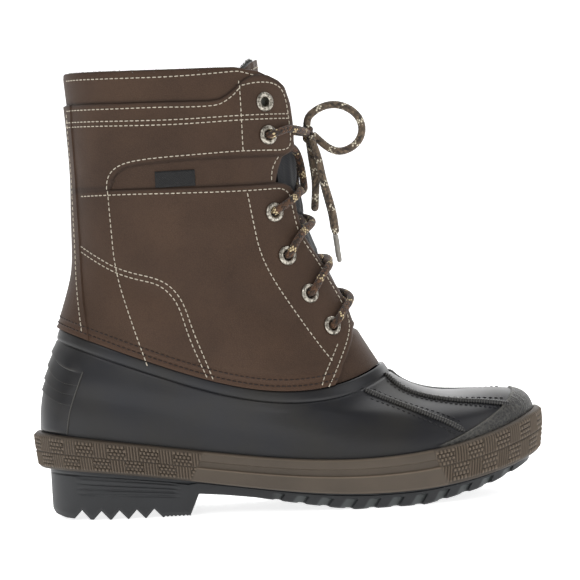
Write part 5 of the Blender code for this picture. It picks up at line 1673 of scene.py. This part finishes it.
@dataclass
class Tongue:
    """Padded tongue: leather base under the flaps, woven front, leather tip with fleece behind."""

    last: Last
    lace_paths: Sequence[Array]
    columns: int = 45
    rows: int = 150
    tufts: int = 900

    ROWS = (
        TongueRow(4.53, -2.6, 0.0, 2.2, 0.90), TongueRow(4.90, -2.6, 0.0, 2.2, 0.68),
        TongueRow(5.30, -2.6, 0.0, 2.2, 0.46), TongueRow(5.70, -2.6, 0.0, 2.6, 0.40),
        TongueRow(6.20, -2.6, 0.0, 3.4, 0.48), TongueRow(6.80, -2.7, 0.0, 4.4, 0.56),
        TongueRow(7.60, -2.8, 0.0, 5.0, 0.62), TongueRow(8.60, -2.9, 0.3, 5.3, 0.62),
        TongueRow(9.50, -3.1, 1.2, 5.5, 0.62), TongueRow(10.4, -3.3, 3.6, 5.8, 0.62),
        TongueRow(11.1, -3.5, 8.4, 6.0, 0.63), TongueRow(11.6, -3.6, 14.5, 6.0, 0.63),
        TongueRow(11.9, -3.6, 17.8, 5.6, 0.60), TongueRow(12.2, -3.6, 17.0, 4.2, 0.56),
    )
    BASE_TOP = 5.85
    TIP_FROM = 11.35
    TOP = 12.26
    CORNER_DROP = 0.5

    def surfaces(self, levels: Array, raise_by: float, thick_by: float) -> tuple[Array, Array, Array]:
        """Outer and inner face of the tongue over some levels, dented where the lace presses.

        Args:
            levels: levels of the rows.
            raise_by: how far the outer face stands over the tongue's table.
            thick_by: part of the table's thickness that this layer has.

        Returns:
            Outer and inner points, and flat coordinates in millimetres.
        """
        table = np.array(self.ROWS)
        face, lean, thick, half = (np.interp(levels, table[:, 0], table[:, k])[:, None] for k in (1, 2, 3, 4))
        across = np.linspace(-1, 1, self.columns)[None, :]
        angles = half * across
        levels = levels[:, None] - self.CORNER_DROP * across ** 2 * smooth(11.2, 12.1, levels)[:, None]
        lean = np.stack([-lean, 0 * lean, 0 * lean], axis=-1)
        puff = 0.5 * (1 - across ** 2) * smooth(5.6, 6.6, levels) * smooth(12.2, 11.6, levels)
        fold = 0.25 * np.sin(angles * 38 + levels * 1.3) * smooth(6.0, 7.0, levels)
        normal = self.last.normal(angles, levels)
        plain = self.last.wall(angles, levels, face + raise_by + puff + fold) + lean
        dent = self.dent(plain, normal)
        outer = plain + normal * dent[..., None]
        depth = thick * (1 - 0.35 * across ** 4) * thick_by + puff
        inner = outer - normal * depth[..., None]
        run = np.cumsum(np.linalg.norm(np.diff(plain, axis=0, prepend=plain[:1]), axis=-1), axis=0)
        width = np.cumsum(np.linalg.norm(np.diff(plain, axis=1, prepend=plain[:, :1]), axis=-1), axis=1)
        return outer, inner, np.stack([width, run], axis=-1)

    def dent(self, points: Array, normals: Array) -> Array:
        """How far each point is pressed in to stay clear of the lace, smoothed over its neighbours."""
        shift = np.zeros(points.shape[:2])
        reach = LACE_RADIUS + 0.35
        for path in self.lace_paths:
            away = path[None, None] - points[:, :, None]
            rise = (away * normals[:, :, None]).sum(-1)
            beside2 = (away ** 2).sum(-1) - rise ** 2
            need = rise - np.sqrt(np.clip(reach ** 2 - beside2, 0, None))
            pressed = np.where((beside2 < reach ** 2) & (rise > -9) & (rise < 9), need, 9.0).min(-1)
            shift = np.minimum(shift, np.clip(pressed, -8, 0))
        spread = shift
        for _ in range(6):
            padded = np.pad(spread, 1, mode="edge")
            around = (padded[:-2, 1:-1] + padded[2:, 1:-1] + padded[1:-1, :-2] + padded[1:-1, 2:]) / 4
            spread = np.minimum(shift, around)
        return spread

    def layer(self, name: str, levels: Array, raise_by: float, thick_by: float, finish: Finish,
              stands_for: Sequence[str] = ()) -> Piece:
        """One closed layer of the tongue over some levels, between the faces that surfaces gives."""
        padded = sheet(*self.surfaces(levels, raise_by, thick_by))
        return make_piece(name, **padded, finish=finish, stands_for=stands_for)

    def build(self) -> None:
        """Padded cloth tongue, leather base in front of it, leather tip and fleece back."""
        levels = np.linspace(5.0, self.TOP, self.rows)
        cloth = self.layer("tongue_padded", levels, -0.5, 0.62, TONGUE_CLOTH, ["tongue"])
        self.layer("tongue_base", np.linspace(4.53, self.BASE_TOP, 40), 0.45, 0.3, LEATHER)
        self.layer("tongue_tip", np.linspace(self.TIP_FROM, self.TOP + 0.02, 24), 0.25, 0.08, LEATHER)
        outer, inner, _ = self.surfaces(np.linspace(9.6, self.TOP, 60), -0.5, 0.64)
        normal = unit(outer - inner)
        deep = inner - normal * (1.2 + ripple(inner, 6, (8, 5), 0.3))[..., None]
        make_piece("tongue_fleece", **sheet(inner - 0.15 * normal, deep), finish=FLEECE)
        self.tip_stitches()
        rng = np.random.default_rng(33)
        pick = rng.integers(1, self.columns - 1, self.tufts)
        edge = (inner[-1] + deep[-1]) / 2
        rise = unit(outer[-1] - outer[-4])
        out = unit(rise[pick] * 1.2 + rng.normal(scale=0.45, size=(self.tufts, 3)))
        roots = edge[pick] + rng.normal(scale=0.6, size=(self.tufts, 3))
        make_fibres("tongue_fibres", roots, out, rng, 1.1)

    def tip_stitches(self) -> Piece:
        """Row of cream stitches below the tongue's top edge."""
        outer, inner, _ = self.surfaces(np.linspace(self.TIP_FROM, self.TOP + 0.02, 24), 0.25, 0.08)
        row = outer[-6, 3:-3]
        up = unit(outer - inner)[-6, 3:-3]
        run = run_length(row)
        at = np.arange(1.6, run[-1], 3.3)
        centres, normals = rows_at(at, run, row), unit(rows_at(at, run, up))
        way = unit(np.gradient(centres, axis=0))
        stitches = beads(centres + 0.1 * normals, way, normals, 2.4, 0.42, 0.4)
        return make_piece("tongue_stitches", *stitches, CREAM_THREAD, crease=80)


@dataclass
class Eyelets:
    """Rolled metal eyelets, one turned piece each."""

    last: Last
    sides: int = 48
    marks: int = 20

    # radius and height of the turned section, from the barrel's foot over the rolled flange
    SECTION = (
        (2.6, -3.9), (3.2, -3.9), (3.25, -0.2), (3.3, 0.1), (5.65, 0.1), (5.9, 0.4), (5.75, 0.85), (5.3, 1.3),
        (4.75, 1.58), (4.2, 1.64), (3.6, 1.5), (3.1, 1.15), (2.8, 0.6), (2.65, 0.0),
    )

    def build(self) -> None:
        """Turn the section about each seat's axis, with shallow marks round the flange."""
        radius, height = np.array(self.SECTION).T
        turn = np.linspace(0, TURN, self.sides, endpoint=False)[:, None]
        dimple = 0.14 * np.cos(turn * self.marks) * np.exp(-((radius - 4.6) / 0.5) ** 2) * (height > 0.5)
        for name, (centre, axis) in eyelet_seats(self.last).items():
            across = unit(np.cross(axis, (0.0, 0.0, 1.0)))
            out = rings(across, np.cross(axis, across), self.sides)[:, None]
            points = centre + out * radius[:, None] + axis * (height + dimple)[..., None]
            faces, _ = grid_faces(self.sides, len(radius), wrap_rows=True, wrap_columns=True)
            make_piece(f"{name}_rolled", points, faces, NICKEL, stands_for=[name], crease=45)


@dataclass
class Lace:
    """Running lace: out of each eyelet, over the throat and under the other flap to the next one."""

    last: Last
    sides: int = 14
    laced: int = 5
    under: float = -4.5
    over: float = 4.3
    clear: float = 0.25
    sunk: float = -5.2

    # parts of the rise to the next eyelet: on the flap, at its brim, the crossing, and the way under
    RISE = (0.30, 0.62, 0.84, 0.92, 0.96, 0.99)
    TOP_RISE = (0.10, 0.24, 0.40, 0.76, 0.90, 0.96)

    def half(self, start: Side, high: bool) -> Array:
        """Path of one half of the lace, from the bar at the lowest eyelets to the top bar.

        Args:
            start: side of its lowest eyelet.
            high: whether it passes over the other half where they cross.

        Returns:
            Points of the path.
        """
        angle, level = self.last.locate(*np.transpose(EYELET_SPOTS))
        side = start.value
        stops = [(0.0, level[0] - 0.12, self.under + 0.4), (0.6 * angle[0] * side, level[0] - 0.1, self.under)]
        for i in range(self.laced - 1):
            here, there = angle[i], angle[i + 1]
            rise = level[i + 1] - level[i]
            last = i == self.laced - 2
            near, brim, cross, past, dive, below = self.TOP_RISE if last else self.RISE
            edge = float(self.last.throat(level[i] + brim * rise))
            far = float(self.last.throat(level[i] + dive * rise))
            middle = self.sunk - 0.75 * last + (2 * LACE_RADIUS + self.clear if high else 0.0)
            sinking = max(middle - 2.4, self.under - 0.2)
            stops += [
                (side * here, level[i], self.under), (side * here, level[i], -1.2),
                (side * (here - 0.015), level[i] + 0.02 * rise, 2.2),
                (side * (0.62 * here + 0.38 * edge), level[i] + near * rise, self.over + 0.4),
                (side * edge * 0.95, level[i] + brim * rise, self.over - 0.2),
                (0.0, level[i] + cross * rise, middle),
                (-side * (0.30 if last else 0.62) * far, level[i] + past * rise, sinking),
                (-side * (far + 0.06), level[i] + dive * rise, self.under + 0.2),
                (-side * (0.4 * far + 0.6 * there), level[i] + below * rise, self.under),
            ]
            side = -side
        here, top = angle[self.laced - 1], level[self.laced - 1]
        stops += [
            (side * here, top, self.under), (side * here, top, -1.2), (side * (here - 0.015), top, 2.2),
            (side * 0.80 * here, top + 0.12, self.over + 1.0),
            (side * 0.56 * here, top + 0.13, self.over + 0.8),
            (side * 0.30 * here, top + 0.10, 3.4), (side * 0.10 * here, top + 0.08, 3.0),
        ]
        return self.last.wall(*np.transpose(stops))

    def paths(self) -> list[Array]:
        """Even paths of both halves."""
        return [even_route(self.half(Side.LATERAL, True), 0.9), even_route(self.half(Side.MEDIAL, False), 0.9)]

    def build(self, paths: Sequence[Array]) -> None:
        """Braid both halves; the first stands for the crossings and the bar."""
        solids = [f"lace_cross_{i + 1}" for i in range(self.laced - 1)] + ["lace_top_bar"]
        for name, path, nodes in zip(("lateral", "medial"), paths, (solids, [])):
            points, faces, uv = tube(path, braid_radius(path), self.sides)
            make_piece(f"lace_running_{name}", points, faces, LACE, uv=uv, stands_for=nodes, crease=80)


def braid_radius(path: Array) -> Array:
    """Radius of the braid along a path: a slight swell once a stitch, rounded at both ends."""
    run = run_length(path)
    ends = np.minimum(run, run[-1] - run)
    return LACE_RADIUS * (1 + 0.03 * np.cos(TURN * run / LACE.stitch)) * np.sqrt(np.clip(ends / 1.2, 0.15, 1))


@dataclass
class Bow:
    """Bow of the lace: knot, two loops and two ends with sleeves."""

    sides: int = 14
    sleeve_length: float = 17.0
    sleeve_radius: float = 1.45
    knot_radius: float = 2.1

    KNOT = (21.9, 1.2, 226.0)
    FRONT_LOOP = (
        (21.4, -1.0, 227.4), (21.7, -2.4, 232.2), (22.8, -2.8, 235.6), (26.2, -3.2, 238.8), (32.6, -3.6, 241.8),
        (39.4, -4.0, 242.4), (46.8, -4.4, 239.9), (52.9, -4.8, 234.2), (54.9, -5.0, 227.6), (52.6, -5.0, 220.0),
        (46.8, -4.8, 215.3), (39.8, -4.4, 214.0), (33.2, -3.6, 217.0), (27.4, -2.3, 222.5), (24.4, -0.8, 225.6),
    )
    DROP_LOOP = (
        (22.4, 2.2, 223.2), (22.8, 3.4, 218.6), (23.8, 7.6, 208.0), (24.8, 11.4, 198.0), (24.6, 12.6, 190.0),
        (23.9, 9.6, 183.3), (23.6, 2.9, 180.4), (23.9, -3.8, 183.2), (24.5, -6.8, 190.0), (25.2, -6.6, 199.0),
        (24.2, -3.8, 210.0), (22.9, -1.9, 218.4), (22.3, -0.6, 222.8),
    )
    LATERAL_END = (
        (23.0, -3.2, 224.2), (24.4, -6.4, 219.8), (26.8, -8.2, 212.0), (29.0, -10.6, 199.5),
        (32.4, -11.2, 185.0), (34.4, -11.4, 174.5), (35.3, -11.4, 163.6),
    )
    MEDIAL_END = (
        (23.4, 5.0, 224.0), (24.8, 8.2, 218.8), (26.2, 11.0, 212.6), (29.2, 16.0, 199.0), (32.2, 18.4, 185.0),
        (34.2, 19.0, 175.0), (35.1, 19.0, 165.4),
    )

    def cord(self, name: str, route: Sequence, node: str) -> tuple[Piece, Array]:
        """Braided cord along a route.

        Args:
            name: name of the piece.
            route: points of the route.
            node: solid that it replaces.

        Returns:
            The piece and its path in millimetres.
        """
        path = even_route(route, 0.9)
        points, faces, uv = tube(path, braid_radius(path), self.sides)
        # Loops and ends take the paler copy of the lace, painted light
        return make_piece(name, points, faces, BOW_LACE_PAINTED_LIGHT, uv=uv, stands_for=[node], crease=80), path

    def knot(self) -> Piece:
        """Tight knot: a closed three-lobed turn of the cord drawn in round its centre."""
        turn = np.linspace(0, TURN, 120, endpoint=False)
        lobes = np.stack([
            1.3 * np.sin(3 * turn), 1.75 * (np.sin(turn) + 1.35 * np.sin(2 * turn)),
            1.7 * (np.cos(turn) - 1.35 * np.cos(2 * turn)),
        ], axis=1)
        path = lobes + self.KNOT
        along = unit(np.roll(path, -1, axis=0) - np.roll(path, 1, axis=0))
        across = unit(np.cross(along, path - np.array(self.KNOT) + (0.01, 0.0, 0.0)))
        points = path[:, None] + rings(across, np.cross(along, across), self.sides) * self.knot_radius
        faces, corners = grid_faces(len(path), self.sides, wrap_rows=True, wrap_columns=True)
        run = run_length(np.concatenate([path, path[:1]]))
        uv = np.stack([corners[..., 1] / self.sides, run[corners[..., 0]]], axis=-1)
        return make_piece("lace_knot_tied", points, faces, LACE, uv=uv, stands_for=["lace_knot"], crease=80)

    def sleeve(self, name: str, route: Sequence, node: str) -> Piece:
        """Crimped sleeve on the cord's end."""
        tip, before = np.array(route[-1]), np.array(route[-2])
        along = unit(tip - before)
        part = np.linspace(0, 1, 40)
        path = tip + along * (0.3 + self.sleeve_length * part)[:, None]
        pinch = 1 - 0.12 * np.exp(-((part - 0.12) / 0.05) ** 2) - 0.1 * np.exp(-((part - 0.6) / 0.05) ** 2)
        rounded = np.sqrt(np.clip(np.minimum(part / 0.02, (1 - part) / 0.06), 0.12, 1))
        points, faces, _ = tube(path, self.sleeve_radius * pinch * rounded, 16)
        return make_piece(name, points, faces, AGLET, stands_for=[node], crease=60)

    def build(self) -> None:
        """Tie the bow: its knot, two loops, two ends and their sleeves."""
        knot = self.knot()
        for name, route, lay in (("front", self.FRONT_LOOP, "loose"), ("drop", self.DROP_LOOP, "hanging")):
            piece, path = self.cord(f"bow_loop_{name}", route, f"lace_loop_{name}")
        for name, route in (("lateral", self.LATERAL_END), ("medial", self.MEDIAL_END)):
            piece, path = self.cord(f"bow_end_{name}", route, f"lace_end_{name}")
            sleeve = self.sleeve(f"bow_sleeve_{name}", route, f"aglet_{name}")


@dataclass
class SideLabel:
    """Bare woven label sewn into the recess of the lateral side."""

    last: Last
    left: float = -70.5
    right: float = -46.8
    low: float = 197.6
    high: float = 207.2
    lift: float = LEATHER_BASE + 0.3
    thick: float = 0.8

    def build(self) -> Piece:
        """Thin sheet with rounded rims that follows the shaft."""
        x, z = np.meshgrid(np.linspace(self.left, self.right, 40), np.linspace(self.low, self.high, 18))
        angle, level = self.last.locate(x, z)
        u, v = np.linspace(-1, 1, 40)[None, :], np.linspace(-1, 1, 18)[:, None]
        crown = self.thick * (1 - 0.6 * np.maximum(np.abs(u), np.abs(v)) ** 24)
        crown = crown + 0.12 * np.cos(7 * u) * (1 - v ** 2)
        front = self.last.wall(angle, level, self.lift + crown)
        back = self.last.wall(angle, level, self.lift)
        cloth = sheet(front, back, grid_points(x, z))
        return make_piece("side_label_woven", **cloth, finish=LABEL_CLOTH, stands_for=["side_label"])


class Lamp(NamedTuple):
    """A soft box: where it stands, what it faces, its size and power."""

    name: str
    place: tuple[float, float, float]
    aim: tuple[float, float, float]
    size: tuple[float, float]
    power: float


@dataclass
class Studio:
    """White paper sweep, soft boxes and the camera at the photograph's angle."""

    distance: float = 1.5
    aim: tuple[float, float, float] = (0.0055, 0.0, 0.1309)
    elevation: float = 2.0
    roll: float = 3.3
    frame_width: float = 0.3555
    sensor: float = 36.0

    PAPER = StudioPaper("white_background_paper", "studio", "f4f4f4", 0.88)
    LAMPS = (
        Lamp("front_box", (-0.9, -1.6, 1.3), (0.0, 0.0, 0.12), (1.6, 1.2), 13.0),
        Lamp("right_box", (1.5, -0.9, 0.9), (0.03, 0.0, 0.10), (1.0, 1.4), 6.5),
        Lamp("top_box", (0.25, 0.55, 1.5), (0.05, 0.0, 0.08), (1.6, 1.0), 13.0),
        Lamp("left_box", (-1.6, 0.3, 0.8), (-0.05, 0.0, 0.14), (0.8, 1.4), 2.6),
        Lamp("rim_box", (0.35, 1.3, 0.65), (0.08, 0.0, 0.07), (1.6, 0.7), 5.0),
    )

    def camera(self) -> None:
        """Camera that looks along +Y from a little above, rolled as the boot tilts in the photograph."""
        rise, roll = math.radians(self.elevation), math.radians(self.roll)
        back = np.array([0.0, -math.cos(rise), math.sin(rise)])
        right, up = np.array([1.0, 0.0, 0.0]), np.array([0.0, math.sin(rise), math.cos(rise)])
        rolled_right = right * math.cos(roll) - up * math.sin(roll)
        rolled_up = right * math.sin(roll) + up * math.cos(roll)
        data = bpy.data.cameras.new("camera")
        data.sensor_width = self.sensor
        data.lens = self.sensor * self.distance / self.frame_width
        camera = bpy.data.objects.new("camera", data)
        turn = Matrix(np.stack([rolled_right, rolled_up, back], axis=1).tolist()).to_4x4()
        camera.matrix_world = Matrix.Translation((np.array(self.aim) + back * self.distance).tolist()) @ turn
        bpy.context.scene.collection.objects.link(camera)
        bpy.context.scene.camera = camera

    def lamps(self) -> None:
        """Soft boxes and an even white surround."""
        for lamp in self.LAMPS:
            data = bpy.data.lights.new(lamp.name, "AREA")
            data.shape = "RECTANGLE"
            data.size, data.size_y = lamp.size
            data.energy = lamp.power
            light = bpy.data.objects.new(lamp.name, data)
            back = unit(np.array(lamp.place) - np.array(lamp.aim))
            right = unit(np.cross((0.0, 0.0, 1.0), back))
            turn = Matrix(np.stack([right, np.cross(back, right), back], axis=1).tolist()).to_4x4()
            light.matrix_world = Matrix.Translation(lamp.place) @ turn
            light.visible_camera = False
            bpy.context.scene.collection.objects.link(light)
        world = bpy.data.worlds.new("white_surround")
        world.use_nodes = True
        world.node_tree.nodes["Background"].inputs["Color"].default_value = rgb("ffffff")
        world.node_tree.nodes["Background"].inputs["Strength"].default_value = 0.22
        bpy.context.scene.world = world
        bpy.context.scene.view_settings.view_transform = "Standard"

    def paper(self) -> None:
        """Floor that sweeps up into a backdrop far behind the boot."""
        bend = np.linspace(0.1, math.pi / 2, 12)
        y = np.concatenate([np.linspace(-4.0, 2.0, 13), 2.0 + 1.5 * np.sin(bend), np.full(3, 3.5)])
        z = np.concatenate([np.zeros(13), 1.5 - 1.5 * np.cos(bend), (2.0, 3.0, 4.5)])
        x = np.linspace(-5, 5, 9)
        points = grid_points(x[None, :], y[:, None], z[:, None])
        faces, _ = grid_faces(*points.shape[:2])
        mesh = bpy.data.meshes.new("paper_sweep")
        mesh.from_pydata(points.reshape(-1, 3).tolist(), [], faces.tolist())
        mesh.shade_smooth()
        mesh.materials.append(self.PAPER.material())
        sweep = bpy.data.objects.new("paper_sweep", mesh)
        bpy.context.scene.collection.objects.link(sweep)

    def build(self) -> None:
        """Set up camera, light and paper."""
        self.camera()
        self.lamps()
        self.paper()


def main() -> None:
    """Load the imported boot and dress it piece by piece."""
    logging.basicConfig(level=logging.INFO, format="%(name)s: %(message)s")
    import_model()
    Studio().build()
    last = Last()
    Bow().build()
    lace = Lace(last)
    paths = lace.paths()
    lace.build(paths)
    Outsole(last).build()
    Rand(last).build()
    RubberShell(last).build()
    Footbed(last).build()
    shaft = LeatherShaft(last)
    shaft.build()
    Stitching(last, shaft).build()
    Lining(last, shaft).build()
    Tongue(last, paths).build()
    Eyelets(last).build()
    SideLabel(last).build()


if __name__ == "__main__":
    main()
